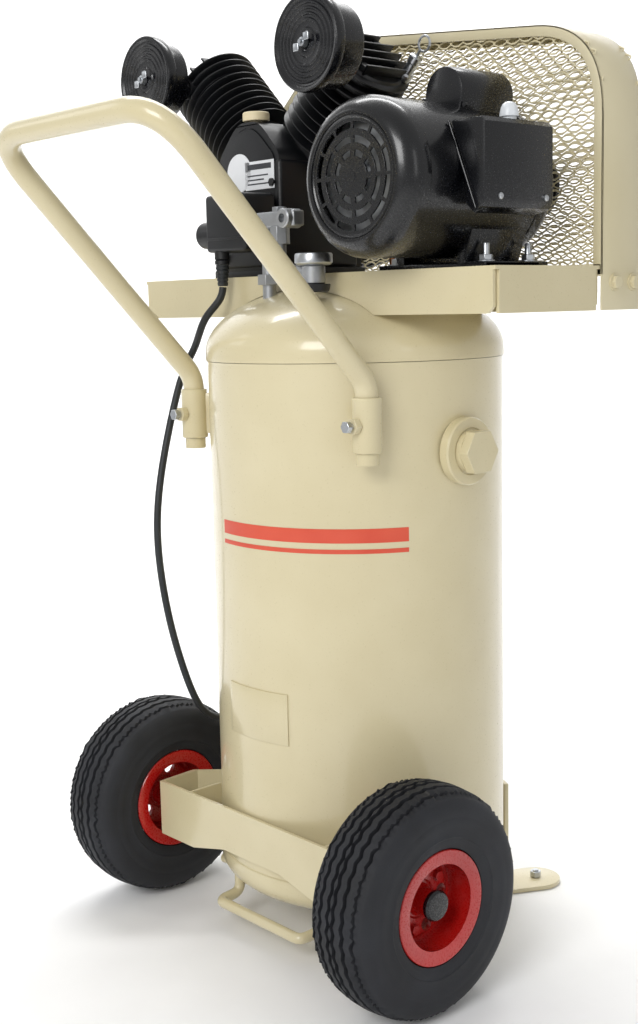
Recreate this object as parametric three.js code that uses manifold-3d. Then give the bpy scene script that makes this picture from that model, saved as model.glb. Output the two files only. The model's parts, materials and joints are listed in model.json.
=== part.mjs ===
// Upright portable air compressor: vertical tank on two wheels and two feet, with a flanged platform
// that carries a V-twin pump, an electric motor and a belt guard, and a push handle held in two sockets.
// Frame: millimetres, +Z up, X along the wheel axle, -Y towards the handle, floor at Z = 0.
import * as THREE from "three";
import { mergeVertices } from "three/addons/utils/BufferGeometryUtils.js";
import Module from "manifold-3d";

const wasm = await Module();
wasm.setup();

// ---- driving dimensions -------------------------------------------------------------------------
const GAP = 0.3; // clearance between pieces that touch
const TANK_R = 178;
const TANK_WALL = 3.5;
const SEAM_LOW = 94;
const SEAM_HIGH = 699;
const DOME_H = 82; // rise of the upper head above its straight skirt
const DISH_H = 55; // drop of the lower head below its straight skirt
const SKIRT = 10;
const BUNG_Z = SEAM_HIGH - 103;
const BUNG_R = 38;

const TYRE_R = 127;
const TYRE_W = 87;
const RIM_R = 63;
const TRACK_HALF = TANK_R + 58.5;
const AXLE_Y = -(TANK_R - 33.3);
const AXLE_R = 8;
// The stub axles start beside the tank, clear of its side at that depth.
const AXLE_INNER = Math.ceil(Math.sqrt(TANK_R ** 2 - AXLE_Y ** 2)) + 16;

const SOCKET_X = TANK_R - 23;
const SOCKET_Y = -(TANK_R - 49.5);
const SOCKET_TOP = SEAM_HIGH - 36;
const SOCKET_LEN = 60;
const TUBE_R = 12.7; // handle tube
const HANDLE_BACK = TANK_R + 209; // crossbar, behind the tank axis
const HANDLE_TOP = SEAM_HIGH + 251;
const HANDLE_FOOT = SOCKET_TOP - SOCKET_LEN - 13; // lower ends of the handle legs
const HANDLE_KNEE = SOCKET_TOP + 15; // where the upright legs turn back

const PLAT_HALF = 304;
const PLAT_FRONT = -90;
const PLAT_REAR = 80.5;
const PLAT_TOP = SEAM_HIGH + SKIRT + DOME_H + 7;
const PLAT_DROP = 48;
const PLATE = 4;

const GUARD_Y0 = 81;
const GUARD_DEPTH = 68;
const GUARD_SHEET = 2;
const GUARD_FRAME = 12;
const GUARD_LOW = PLAT_TOP - 10;

const PUMP_X = -122;
const PUMP_Z = PLAT_TOP + 117; // crank axis height
const PUMP_Y = 10; // middle plane between the two cylinders
const BANK_STEP = 12; // each cylinder sits this far from the middle plane
const CASE_HALF = 58.5;
const CASE_FRONT = -58;
const CASE_BACK = 66;
const CASE_SHOULDER = PUMP_Z + 29;
const FIN_R = 56;
const FIN_PITCH = 12;
const FIN_COUNT = 7;
const BORE_R = 32;
const CYL_BASE = 66; // distance of the cylinder foot from the crank axis
const HEAD_AT = CYL_BASE + 6 + FIN_COUNT * FIN_PITCH;
const HEAD_TOP = HEAD_AT + 33;
const THROW = 18;
const FILTER_SIDE = 156;
const FILTER_UP = 137;
const FILTER_DEPTH = 50;
const FILTER_R = 54;
const FILTER_FRONT = -100;

const MOTOR_X = 172;
const MOTOR_R = 82;
const MOTOR_Z = PLAT_TOP + MOTOR_R + 12;
const MOTOR_FRONT = -162;
const MOTOR_REAR = 78;
const FLYWHEEL_R = 108;
const PULLEY_R = 38;
const BELT_Y = 118;

const FOOT_ANGLE = 62;
const FOOT_END = TANK_R + 90;
const CORD_R = 4.6;
const FACET_SHARE = 0.64;

// ---- finishes -----------------------------------------------------------------------------------
const finish = (color, roughness, metalness) =>
  new THREE.MeshStandardMaterial({ color, roughness, metalness });
const CREAM = finish(0xcfc49c, 0.45, 0.0);
const BLACK = finish(0x17181b, 0.4, 0.1);
const CASTING = finish(0x1d1e21, 0.6, 0.2);
const ZINC = finish(0xb8bcc0, 0.3, 0.9);
const ALLOY = finish(0xa3a5a8, 0.45, 0.8);
const RED = finish(0x9c1a14, 0.35, 0.1);
const RUBBER = finish(0x17171a, 0.85, 0.0);
const PLASTIC = finish(0x101114, 0.5, 0.0);
const CLEAR = finish(0xe8eef2, 0.2, 0.0);
const COPPER = finish(0xa9673f, 0.35, 0.9);

// ---- solid helpers ------------------------------------------------------------------------------
const v2 = (x, y) => new THREE.Vector2(x, y);
const v3 = (x, y, z) => new THREE.Vector3(x, y, z);
const rad = THREE.MathUtils.degToRad;

// Large rounds share one facet rule, so nested rounds asked for with one count stay nested.
const facets = (n) => Math.round(n > 20 ? n * FACET_SHARE : Math.min(n, 12 + (n - 12) / 2));

// One closed body as a manifold solid, turned to face outwards.
function solid(geometry) {
  const bare = geometry.index ? geometry.toNonIndexed() : geometry;
  const only = new THREE.BufferGeometry();
  only.setAttribute("position", bare.getAttribute("position").clone());
  const merged = mergeVertices(only, 1e-3);
  const index = merged.index.array;
  const kept = [];
  for (let i = 0; i < index.length; i += 3) {
    const [a, b, c] = [index[i], index[i + 1], index[i + 2]];
    if (a !== b && b !== c && a !== c) kept.push(a, b, c);
  }
  const vertProperties = merged.attributes.position.array;
  const build = (tris) =>
    new wasm.Manifold(new wasm.Mesh({ numProp: 3, vertProperties, triVerts: new Uint32Array(tris) }));
  let made = build(kept);
  if (made.volume() < 0) {
    for (let i = 0; i < kept.length; i += 3) {
      [kept[i + 1], kept[i + 2]] = [kept[i + 2], kept[i + 1]];
    }
    made = build(kept);
  }
  return made;
}

function geometryOf(made) {
  const mesh = made.getMesh();
  const points = new Float32Array(mesh.numVert * 3);
  for (let i = 0; i < mesh.numVert; i += 1) {
    points.set(mesh.vertProperties.subarray(i * mesh.numProp, i * mesh.numProp + 3), i * 3);
  }
  const geometry = new THREE.BufferGeometry();
  geometry.setAttribute("position", new THREE.BufferAttribute(points, 3));
  geometry.setIndex(new THREE.BufferAttribute(new Uint32Array(mesh.triVerts), 1));
  geometry.computeVertexNormals();
  return geometry;
}

const join = (...pieces) => pieces.reduce((sum, piece) => sum.add(piece));
const cut = (base, ...tools) => tools.reduce((left, tool) => left.subtract(tool), base);

const model = new THREE.Group();
model.name = "air_compressor";

function piece(name, made, material, at = [0, 0, 0], parent = model) {
  const mesh = new THREE.Mesh(geometryOf(made), material.clone());
  mesh.name = name;
  mesh.position.set(...at);
  parent.add(mesh);
  return mesh;
}

const AXES = { x: [0, 0, -Math.PI / 2], y: [0, 0, 0], z: [Math.PI / 2, 0, 0] };

// Turns a shape made along +Y to lie along another axis, then moves it.
function aim(geometry, axis, at = [0, 0, 0]) {
  const turn = new THREE.Matrix4().makeRotationFromEuler(new THREE.Euler(...AXES[axis]));
  return geometry.applyMatrix4(turn).translate(...at);
}

// Turned profile: pairs of radius and distance along the axis.
function turned(pairs, axis, at, segments = 32) {
  const points = pairs.map(([r, h]) => v2(r, h));
  return solid(aim(new THREE.LatheGeometry(points, facets(segments)), axis, at));
}

// Ring section: the profile is closed on itself away from the axis.
function ring(pairs, axis, at, segments = 32) {
  return turned([...pairs, pairs[0]], axis, at, segments);
}

function rod(r, length, axis, at, segments = 20, r2 = r) {
  return solid(aim(new THREE.CylinderGeometry(r2, r, length, facets(segments)), axis, at));
}

function block(w, d, h, at) {
  return solid(new THREE.BoxGeometry(w, d, h).translate(...at));
}

// Flat outline in X and Z, thickened along Y from y0 to y0 + depth.
function slab(points, y0, depth, holes = [], bevel = 0) {
  const shape = new THREE.Shape(points.map(([x, z]) => v2(x, z)));
  for (const hole of holes) shape.holes.push(new THREE.Path(hole.map(([x, z]) => v2(x, z))));
  const options = { depth: depth - 2 * bevel, bevelEnabled: bevel > 0, curveSegments: 8 };
  const edge = { bevelThickness: bevel, bevelSize: bevel, bevelSegments: 1, bevelOffset: -bevel };
  if (bevel > 0) Object.assign(options, edge);
  const geometry = new THREE.ExtrudeGeometry(shape, options);
  geometry.translate(0, 0, bevel);
  geometry.rotateX(Math.PI / 2);
  geometry.translate(0, y0 + depth, 0);
  return solid(geometry);
}

// Flat outline in X and Y, thickened along Z.
function plate(points, z0, height) {
  const shape = new THREE.Shape(points.map(([x, y]) => v2(x, y)));
  const geometry = new THREE.ExtrudeGeometry(shape, { depth: height, bevelEnabled: false });
  return solid(geometry.translate(0, 0, z0));
}

const rectangle = (x0, z0, x1, z1) => [[x0, z0], [x1, z0], [x1, z1], [x0, z1]];

function circle(cx, cz, r, count = 16, start = 0) {
  return Array.from({ length: count }, (_, i) => {
    const t = start + (2 * Math.PI * i) / count;
    return [cx + r * Math.cos(t), cz + r * Math.sin(t)];
  });
}

// Straight runs joined by rounded corners; corner i is rounded over radii[i - 1].
function bentPath(points, radii) {
  const path = new THREE.CurvePath();
  let from = points[0].clone();
  for (let i = 1; i < points.length - 1; i += 1) {
    const before = points[i].clone().sub(points[i - 1]).normalize();
    const after = points[i + 1].clone().sub(points[i]).normalize();
    const reach = radii[i - 1];
    const start = points[i].clone().addScaledVector(before, -reach);
    const end = points[i].clone().addScaledVector(after, reach);
    path.add(new THREE.LineCurve3(from, start));
    path.add(new THREE.QuadraticBezierCurve3(start, points[i].clone(), end));
    from = end;
  }
  path.add(new THREE.LineCurve3(from, points[points.length - 1].clone()));
  return path;
}

function tube(path, r, sides, steps) {
  const section = new THREE.Shape(circle(0, 0, r, sides).map(([x, y]) => v2(x, y)));
  return solid(new THREE.ExtrudeGeometry(section, { steps, extrudePath: path, bevelEnabled: false }));
}

const hexBar = (across, length, axis, at) =>
  solid(aim(new THREE.CylinderGeometry(across / Math.sqrt(3), across / Math.sqrt(3), length, 6), axis, at));

// ---- tank ---------------------------------------------------------------------------------------
// Half an ellipse profile from the axis out to the skirt, as radius and height above the seam.
function ellipse(reach, rise, rows) {
  return Array.from({ length: rows + 1 }, (_, i) => {
    const t = ((rows - i) / rows) * (Math.PI / 2);
    return [i === 0 ? 0 : reach * Math.cos(t), SKIRT + rise * Math.sin(t)];
  });
}

function tankShell() {
  const inner = TANK_R - TANK_WALL;
  const high = SEAM_HIGH - GAP;
  const dish = ellipse(TANK_R + 2, DISH_H, 7).map(([r, h]) => [r, SEAM_LOW - h]);
  const hollow = ellipse(inner, DISH_H - TANK_WALL, 5).map(([r, h]) => [r, SEAM_LOW - h]);
  const wall = [[TANK_R + 2, SEAM_LOW], [TANK_R, SEAM_LOW + 1], [TANK_R, high], [inner, high]];
  const body = turned([...dish, ...wall, ...hollow.reverse()], "z", [0, 0, 0], 48);
  const boss = rod(BUNG_R, 15, "x", [TANK_R + 4.5, 0, BUNG_Z], 28);
  const sleeve = rod(BUNG_R - 13, 60, "x", [TANK_R, 0, BUNG_Z], 24);
  const drain = rod(7 + GAP, 40, "z", [0, 0, SEAM_LOW - SKIRT - DISH_H], 16);
  return cut(join(body, boss, dataPlate()), sleeve, drain);
}

function tankTopHead() {
  const outer = ellipse(TANK_R + 2, DOME_H, 8);
  const inner = ellipse(TANK_R - TANK_WALL, DOME_H - TANK_WALL, 5);
  const skirt = [[TANK_R + 2, 0], [TANK_R - TANK_WALL, 0]];
  const body = turned([...outer, ...skirt, ...inner.reverse()], "z", [0, 0, SEAM_HIGH], 48);
  return cut(body, rod(8 + GAP, 60, "z", [PIPE_X, PIPE_Y, domeZ(Math.hypot(PIPE_X, PIPE_Y))], 16),
    rod(8 + GAP, 60, "z", [RISER_X, RISER_Y, domeZ(Math.hypot(RISER_X, RISER_Y))], 16));
}

const domeZ = (r) => SEAM_HIGH + SKIRT + DOME_H * Math.sqrt(Math.max(0, 1 - (r / (TANK_R + 2)) ** 2));

function tankPlug() {
  const neck = rod(BUNG_R - 13 - GAP, 26, "x", [TANK_R + 2, 0, BUNG_Z], 24);
  const hex = hexBar(46, 14, "x", [TANK_R + 22, 0, BUNG_Z]);
  return join(neck, hex);
}

// Curved holder for the data plate, welded to the shell between two bearings from +X.
function dataPlate() {
  const count = 7;
  const [from, to, z0, z1] = [-103, -71, 261, 322];
  const arc = (r) => Array.from({ length: count + 1 }, (_, i) => {
    const t = rad(from + ((to - from) * i) / count);
    return [r * Math.cos(t), r * Math.sin(t)];
  });
  return plate([...arc(TANK_R + 1.6), ...arc(TANK_R - 1).reverse()], z0, z1 - z0);
}

function tank() {
  piece("tank_shell", tankShell(), CREAM);
  piece("tank_top_head", tankTopHead(), CREAM);
  piece("tank_plug", tankPlug(), CREAM);
}

// ---- drain and its guard loop -------------------------------------------------------------------
const DRAIN_TOP = SEAM_LOW - SKIRT - DISH_H - GAP;
const dishClearance = () => {
  const skin = ellipse(TANK_R + 2 + GAP, DISH_H + GAP, 7).map(([r, h]) => [r, SEAM_LOW - h]);
  return turned([...skin, [TANK_R + 2 + GAP, SEAM_LOW + 20], [0, SEAM_LOW + 20]], "z", [0, 0, 0], 48);
};

function drain() {
  const body = join(
    rod(7, 20, "z", [0, 0, DRAIN_TOP], 16),
    rod(5, 24, "y", [0, -8, DRAIN_TOP - 13], 16),
  );
  piece("drain_valve", body, ZINC);
  const stem = rod(2.5, 10, "y", [0, -25.5, DRAIN_TOP - 13], 12);
  const lever = block(26, 3, 7, [0, -31, DRAIN_TOP - 13]);
  piece("drain_handle", join(stem, lever), ZINC);
}

const LOOP_HALF = 76;
const LOOP_Z = 33;
const LOOP_Y = -(TANK_R - 3);
const LOOP_R = 6.5;

function drainGuard() {
  const rise = SEAM_LOW - SKIRT - 16;
  const side = (s) => [
    v3(s * (LOOP_HALF + 34), LOOP_Y + 36, rise - 9),
    v3(s * (LOOP_HALF + 4), LOOP_Y + 36, rise - 7),
    v3(s * (LOOP_HALF + 2), LOOP_Y + 34, LOOP_Z + 2),
    v3(s * LOOP_HALF, LOOP_Y, LOOP_Z),
  ];
  const left = side(-1);
  const right = side(1).reverse();
  const path = bentPath([...left, ...right], [11, 11, 11, 11, 11, 11]);
  piece("drain_guard", cut(tube(path, LOOP_R, 6, 36), dishClearance()), CREAM);
}

// ---- feet ---------------------------------------------------------------------------------------
const FOOT_W = 62;
const FOOT_PLATE = 6;

function footSolid() {
  const near = TANK_R + 2 + GAP;
  const half = FOOT_W / 2;
  const round = Array.from({ length: 9 }, (_, i) => {
    const t = rad(-90 + 22.5 * i);
    return [FOOT_END - half + half * Math.cos(t), half * Math.sin(t)];
  });
  const tab = plate([[near, -half], ...round, [near, half]], 0, FOOT_PLATE);
  const strap = block(FOOT_PLATE, FOOT_W, 150, [near + FOOT_PLATE / 2, 0, 75]);
  const head = hexBar(13, 8, "z", [FOOT_END - 32, 0, FOOT_PLATE + 4]);
  const bolt = join(head, rod(4, 14, "z", [FOOT_END - 32, 0, 9], 12));
  return join(tab, strap, bolt);
}

function feet() {
  for (const [name, bearing] of [["foot_right", FOOT_ANGLE], ["foot_left", 180 - FOOT_ANGLE]]) {
    const mesh = piece(name, footSolid(), CREAM);
    mesh.rotation.z = rad(bearing);
  }
}

// ---- running gear -------------------------------------------------------------------------------
const BRACKET_HALF = TANK_R + 4;
const BRACKET_FRONT = -(TANK_R + 2 + GAP);
const BRACKET_TOP = 164;

function axleBracket() {
  const t = 4;
  const y0 = BRACKET_FRONT - t;
  const face = slab(
    [
      [-BRACKET_HALF, SEAM_LOW],
      [-BRACKET_HALF + 68, SEAM_LOW],
      [-BRACKET_HALF + 130, SEAM_LOW + 15],
      [BRACKET_HALF - 130, SEAM_LOW + 15],
      [BRACKET_HALF - 68, SEAM_LOW],
      [BRACKET_HALF, SEAM_LOW],
      [BRACKET_HALF, BRACKET_TOP],
      [-BRACKET_HALF, BRACKET_TOP],
    ],
    y0,
    t,
  );
  const ends = [-1, 1].map((s) => {
    const outline = [
      [s * (BRACKET_HALF - t), y0],
      [s * BRACKET_HALF, y0],
      [s * (BRACKET_HALF + 5), AXLE_Y + 16.7],
      [s * (TANK_R - 18), -(TANK_R - 78)],
      [s * (TANK_R - 23), -(TANK_R - 78)],
      [s * (BRACKET_HALF - t + 2), AXLE_Y + 18.7],
    ];
    return plate(outline, SEAM_LOW, BRACKET_TOP - SEAM_LOW);
  });
  const webAt = (s) => [s * (AXLE_INNER + 6), y0 + 28, (BRACKET_TOP + SEAM_LOW) / 2];
  const webs = [-1, 1].map((s) => block(t, 54, BRACKET_TOP - SEAM_LOW - 4, webAt(s)));
  const bore = rod(AXLE_R + GAP, 2 * BRACKET_HALF + 40, "x", [0, AXLE_Y, TYRE_R], 16);
  const clear = rod(TANK_R + 2 + GAP, 2 * BRACKET_TOP, "z", [0, 0, BRACKET_TOP], 72);
  return cut(join(face, ...ends, ...webs), bore, clear);
}

const HUB_HALF = 24;
const CAP_AT = TRACK_HALF + HUB_HALF + 1;

// A stub axle runs through the bracket web and side plate and ends in a round cap.
function axleSolid(s) {
  const middle = (s * (CAP_AT + 5 + AXLE_INNER)) / 2;
  const bar = rod(AXLE_R, CAP_AT + 5 - AXLE_INNER, "x", [middle, AXLE_Y, TYRE_R], 16);
  const cap = rod(17, 9, "x", [s * (CAP_AT + 5), AXLE_Y, TYRE_R], 24);
  return join(bar, cap);
}

const LIP_AT = TYRE_W / 2 - 9;

function tyreSolid() {
  const half = TYRE_W / 2;
  const inner = RIM_R + 2 * GAP;
  const seat = RIM_R - 10.4;
  const bead = LIP_AT - 2 * GAP;
  const wall = TYRE_R - inner;
  const outer = [
    [inner, -half + 5.5], [inner + 0.22 * wall, -half + 1], [inner + 0.53 * wall, -half],
    [inner + 0.78 * wall, -half + 4], [inner + 0.94 * wall, -half + 14], [TYRE_R, -half + 28],
  ];
  const inside = [[seat, -bead + 12], [seat, -bead], [inner, -bead]];
  const flip = (rows) => rows.map(([r, x]) => [r, -x]).reverse();
  const roof = inner + 0.72 * wall;
  const hollow = [[roof, half - 22], [roof, -half + 22]];
  return ring([...outer, ...flip(outer), ...flip(inside), ...hollow, ...inside], "x", [0, 0, 0], 38);
}

function rimSolid() {
  const lip = LIP_AT;
  const side = [
    [RIM_R - 16, -lip - 2], [RIM_R - 1, -lip - 4], [RIM_R, -lip],
    [RIM_R - 11, -lip + GAP], [RIM_R - 13, -lip + 14],
  ];
  const barrel = ring([...side, ...side.map(([r, x]) => [r, -x]).reverse()], "x", [0, 0, 0], 32);
  const disc = rod(RIM_R - 14.5, 5, "x", [0, 0, 0], 32);
  const holes = circle(0, 0, 33, 5).map(([y, z]) => rod(8, 12, "x", [0, y, z], 6));
  const hub = rod(15, 2 * HUB_HALF, "x", [0, 0, 0], 20);
  return cut(join(cut(disc, ...holes), barrel, hub), rod(AXLE_R + GAP, 80, "x", [0, 0, 0], 16));
}

function runningGear() {
  piece("axle_bracket", axleBracket(), CREAM);
  for (const [side, s] of [["right", 1], ["left", -1]]) {
    const wheel = new THREE.Group();
    wheel.position.set(s * TRACK_HALF, AXLE_Y, TYRE_R);
    model.add(wheel);
    piece("axle_" + side, axleSolid(s), BLACK);
    piece("tyre_" + side, tyreSolid(), RUBBER, [0, 0, 0], wheel);
    piece("rim_" + side, rimSolid(), RED, [0, 0, 0], wheel);
  }
}

// ---- handle -------------------------------------------------------------------------------------
const SOCKET_R = TUBE_R + GAP + 3;
const CLAMP_Z = SOCKET_TOP - SOCKET_LEN / 2;
const CLAMP_BACK = 1.6;

function handleSolid() {
  const leg = (s) => [
    v3(s * SOCKET_X, SOCKET_Y, HANDLE_FOOT),
    v3(s * SOCKET_X, SOCKET_Y, HANDLE_KNEE),
    v3(s * SOCKET_X, -HANDLE_BACK, HANDLE_TOP),
  ];
  const corners = [...leg(-1), ...leg(1).reverse()];
  return tube(bentPath(corners, [12, 62, 62, 12]), TUBE_R, 10, 46);
}

function socketSolid(s) {
  const x = s * SOCKET_X;
  const mid = SOCKET_TOP - SOCKET_LEN / 2;
  const away = Math.hypot(SOCKET_X, SOCKET_Y);
  const half = SOCKET_LEN / 2;
  const inner = TUBE_R + 2 * GAP;
  const section = [[inner, -half], [SOCKET_R, -half], [SOCKET_R, half], [inner, half]];
  const pipe = ring(section, "z", [x, SOCKET_Y, mid], 24);
  const reach = away - SOCKET_R - TANK_R + 2;
  const webAt = TANK_R + GAP + reach / 2;
  const web = solid(
    new THREE.BoxGeometry(reach, 9, SOCKET_LEN - 8)
      .translate(webAt, 0, 0)
      .rotateZ(Math.atan2(SOCKET_Y, x))
      .translate(0, 0, mid),
  );
  const nut = hexBar(16, 9, "y", [x, SOCKET_Y - SOCKET_R - 3.5, CLAMP_Z]);
  const bore = rod(TUBE_R + 2 * GAP, SOCKET_LEN + 2, "z", [x, SOCKET_Y, mid], 24);
  const thread = rod(4.3, 30, "y", [x, SOCKET_Y - SOCKET_R - 4, CLAMP_Z], 16);
  return cut(join(pipe, cut(join(web, nut), bore)), thread);
}

// The bolts stand backed off the tube, so that the handle is free to slide in its sockets.
function clampBolt(s) {
  const head = hexBar(12, 6, "y", [0, -3, 0]);
  const shank = rod(4, 16, "y", [0, 6, 0], 12);
  const at = [s * SOCKET_X, SOCKET_Y - TUBE_R - CLAMP_BACK - 14, CLAMP_Z];
  piece(s > 0 ? "clamp_bolt_right" : "clamp_bolt_left", join(head, shank), ZINC, at);
}

function handle() {
  piece("handle", handleSolid(), CREAM);
  for (const s of [1, -1]) {
    piece(s > 0 ? "socket_right" : "socket_left", socketSolid(s), CREAM);
    clampBolt(s);
  }
}

// ---- platform -----------------------------------------------------------------------------------
function domeClearance() {
  const rows = 12;
  const profile = [[0, SEAM_HIGH]];
  for (let i = 0; i <= rows; i += 1) {
    const t = (i / rows) * (Math.PI / 2);
    const r = i === rows ? 0 : (TANK_R + 2 + GAP * 3) * Math.cos(t);
    profile.push([r, SEAM_HIGH + SKIRT + (DOME_H + 3 * GAP) * Math.sin(t)]);
  }
  return turned(profile, "z", [0, 0, 0], 56);
}

function platformSolid() {
  const depth = PLAT_REAR - PLAT_FRONT;
  const mid = (PLAT_REAR + PLAT_FRONT) / 2;
  const z1 = PLAT_TOP;
  const z0 = PLAT_TOP - PLAT_DROP;
  const top = block(2 * PLAT_HALF, depth, PLATE, [0, mid, z1 - PLATE / 2]);
  const lip = [
    [-PLAT_HALF + 3, z1 - 1], [-PLAT_HALF + 3, z0 + 14], [-PLAT_HALF + 26, z0], [PLAT_HALF - 10, z0],
    [PLAT_HALF - 3, z0 + 7], [PLAT_HALF - 3, z1 - 1],
  ];
  const front = slab(lip, PLAT_FRONT, PLATE);
  const rear = slab(lip, PLAT_REAR - PLATE, PLATE);
  const ends = [-1, 1].map((s) =>
    block(PLATE, depth - 12, PLAT_DROP - 1, [s * (PLAT_HALF - PLATE / 2), mid, z0 + (PLAT_DROP - 1) / 2]),
  );
  const ribHeight = PLAT_DROP - 6;
  const ribs = [-1, 1].map((s) => block(PLATE, depth - 4, ribHeight, [s * 118, mid, z1 - 3 - ribHeight / 2]));
  const pipeHole = rod(13, 40, "z", [PIPE_X, PIPE_Y, z1], 16);
  return cut(join(top, front, rear, ...ends, ...ribs), domeClearance(), pipeHole);
}

// ---- belt guard ---------------------------------------------------------------------------------
function roundedOutline(points, reaches, steps) {
  const out = [points[0]];
  for (let i = 1; i < points.length - 1; i += 1) {
    const [px, pz] = points[i];
    const toward = (q) => {
      const length = Math.hypot(q[0] - px, q[1] - pz);
      return [(q[0] - px) / length, (q[1] - pz) / length];
    };
    const a = toward(points[i - 1]);
    const b = toward(points[i + 1]);
    const reach = reaches[i - 1];
    for (let k = 0; k <= steps; k += 1) {
      const t = k / steps;
      const wa = (1 - t) ** 2 * reach;
      const wb = t ** 2 * reach;
      out.push([px + a[0] * wa + b[0] * wb, pz + a[1] * wa + b[1] * wb]);
    }
  }
  out.push(points[points.length - 1]);
  return out;
}

// The same open outline moved inwards by d.
function inset(line, d) {
  return line.map(([x, z], i) => {
    const [ax, az] = line[Math.max(0, i - 1)];
    const [bx, bz] = line[Math.min(line.length - 1, i + 1)];
    const length = Math.hypot(bx - ax, bz - az);
    return [x - (d * (bz - az)) / length, z + (d * (bx - ax)) / length];
  });
}

const GUARD_X = PLAT_HALF + GAP + GUARD_SHEET;
function guardLine(low) {
  const corners = [
    [GUARD_X, low],
    [GUARD_X, PLAT_TOP + 254],
    [PUMP_X - 6, PLAT_TOP + 300],
    [-GUARD_X, PLAT_TOP + 150],
    [-GUARD_X, low],
  ];
  return roundedOutline(corners, [92, 60, 50], 4);
}

const strip = (line, width) => [...line, ...inset(line, width).reverse()];

function guardBand() {
  const long = guardLine(PLAT_TOP - PLAT_DROP);
  const short = guardLine(GUARD_LOW);
  const wrap = slab(strip(long, GUARD_SHEET), GUARD_Y0, GUARD_DEPTH);
  const frame = (y) => {
    const hoop = slab(strip(short, GUARD_FRAME), y, GUARD_SHEET);
    const sillShape = rectangle(-GUARD_X + 1, GUARD_LOW, GUARD_X - 1, GUARD_LOW + GUARD_FRAME);
    const sill = slab(sillShape, y, GUARD_SHEET);
    return join(hoop, sill);
  };
  const bolts = [104, 137].flatMap((y) =>
    [-1, 1].map((s) => join(
      hexBar(13, 6, "x", [s * (GUARD_X + 2.9), y, PLAT_TOP - 18]),
      rod(4, 20, "x", [s * (GUARD_X - 6), y, PLAT_TOP - 18], 12),
    )),
  );
  const frames = [frame(GUARD_Y0), frame(GUARD_Y0 + GUARD_DEPTH - GUARD_SHEET)];
  return cut(join(wrap, ...frames, ...bolts), domeClearance());
}

// Expanded metal, drawn coarse: staggered diamonds that stop short of the edge and the shafts.
function meshPanel(shafts) {
  const edge = inset(guardLine(GUARD_LOW), GUARD_SHEET + GAP);
  const outline = [...edge];
  outline[0] = [edge[0][0], GUARD_LOW + 1];
  outline[outline.length - 1] = [edge[edge.length - 1][0], GUARD_LOW + 1];
  const safe = inset(guardLine(GUARD_LOW), GUARD_FRAME + 3);
  const inside = (x, z) => {
    let hit = false;
    for (let i = 0, j = safe.length - 1; i < safe.length; j = i, i += 1) {
      const [xi, zi] = safe[i];
      const [xj, zj] = safe[j];
      if (zi > z !== zj > z && x < ((xj - xi) * (z - zi)) / (zj - zi) + xi) hit = !hit;
    }
    return hit && z > GUARD_LOW + GUARD_FRAME + 3;
  };
  const clearOf = (x, z) => shafts.every(([sx, sz, r]) => Math.hypot(x - sx, z - sz) > r + 34);
  const holes = [];
  const [w, h] = [33, 20];
  for (let row = 0; row < 7; row += 1) {
    for (let col = 0; col < 8; col += 1) {
      const x = -GUARD_X + 52 + col * 80 + (row % 2) * 40;
      const z = GUARD_LOW + 40 + row * 44;
      const tips = [[x - w, z], [x, z - h], [x + w, z], [x, z + h]];
      if (tips.every(([tx, tz]) => inside(tx, tz)) && clearOf(x, z)) holes.push(tips);
    }
  }
  const bores = shafts.map(([sx, sz, r]) => circle(sx, sz, r, 16));
  return [outline, [...holes, ...bores]];
}

function guard() {
  piece("guard_band", guardBand(), CREAM);
  const t = 1.6;
  const [frontEdge, frontHoles] = meshPanel([[PUMP_X, PUMP_Z, 22], [MOTOR_X, MOTOR_Z, 16]]);
  piece("guard_front_mesh", slab(frontEdge, GUARD_Y0 + GUARD_SHEET + GAP, t, frontHoles), CREAM);
  const [rearEdge, rearHoles] = meshPanel([]);
  const rearAt = GUARD_Y0 + GUARD_DEPTH - GUARD_SHEET - GAP - t;
  piece("guard_rear_mesh", slab(rearEdge, rearAt, t, rearHoles), CREAM);
}

// ---- pump ---------------------------------------------------------------------------------------
const S45 = Math.SQRT1_2;

// Moves a shape made along +Z about the origin onto one cylinder axis.
function onCylinder(made, s) {
  return made.rotate([0, s * 45, 0]).translate([PUMP_X, 0, PUMP_Z]);
}

const CYL_Y = { left: PUMP_Y - BANK_STEP, right: PUMP_Y + BANK_STEP };

function caseOutline(grow) {
  const half = CASE_HALF + grow;
  const low = PLAT_TOP + GAP + 8 - grow;
  const top = CASE_SHOULDER + 41 + grow;
  return [
    [-half, low], [half, low], [half, CASE_SHOULDER + grow * 0.4], [half - 30, CASE_SHOULDER + 33 + grow],
    [half - 44, top], [-half + 44, top],
    [-half + 30, CASE_SHOULDER + 33 + grow], [-half, CASE_SHOULDER + grow * 0.4],
  ].map(([x, z]) => [x + PUMP_X, z]);
}

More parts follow.
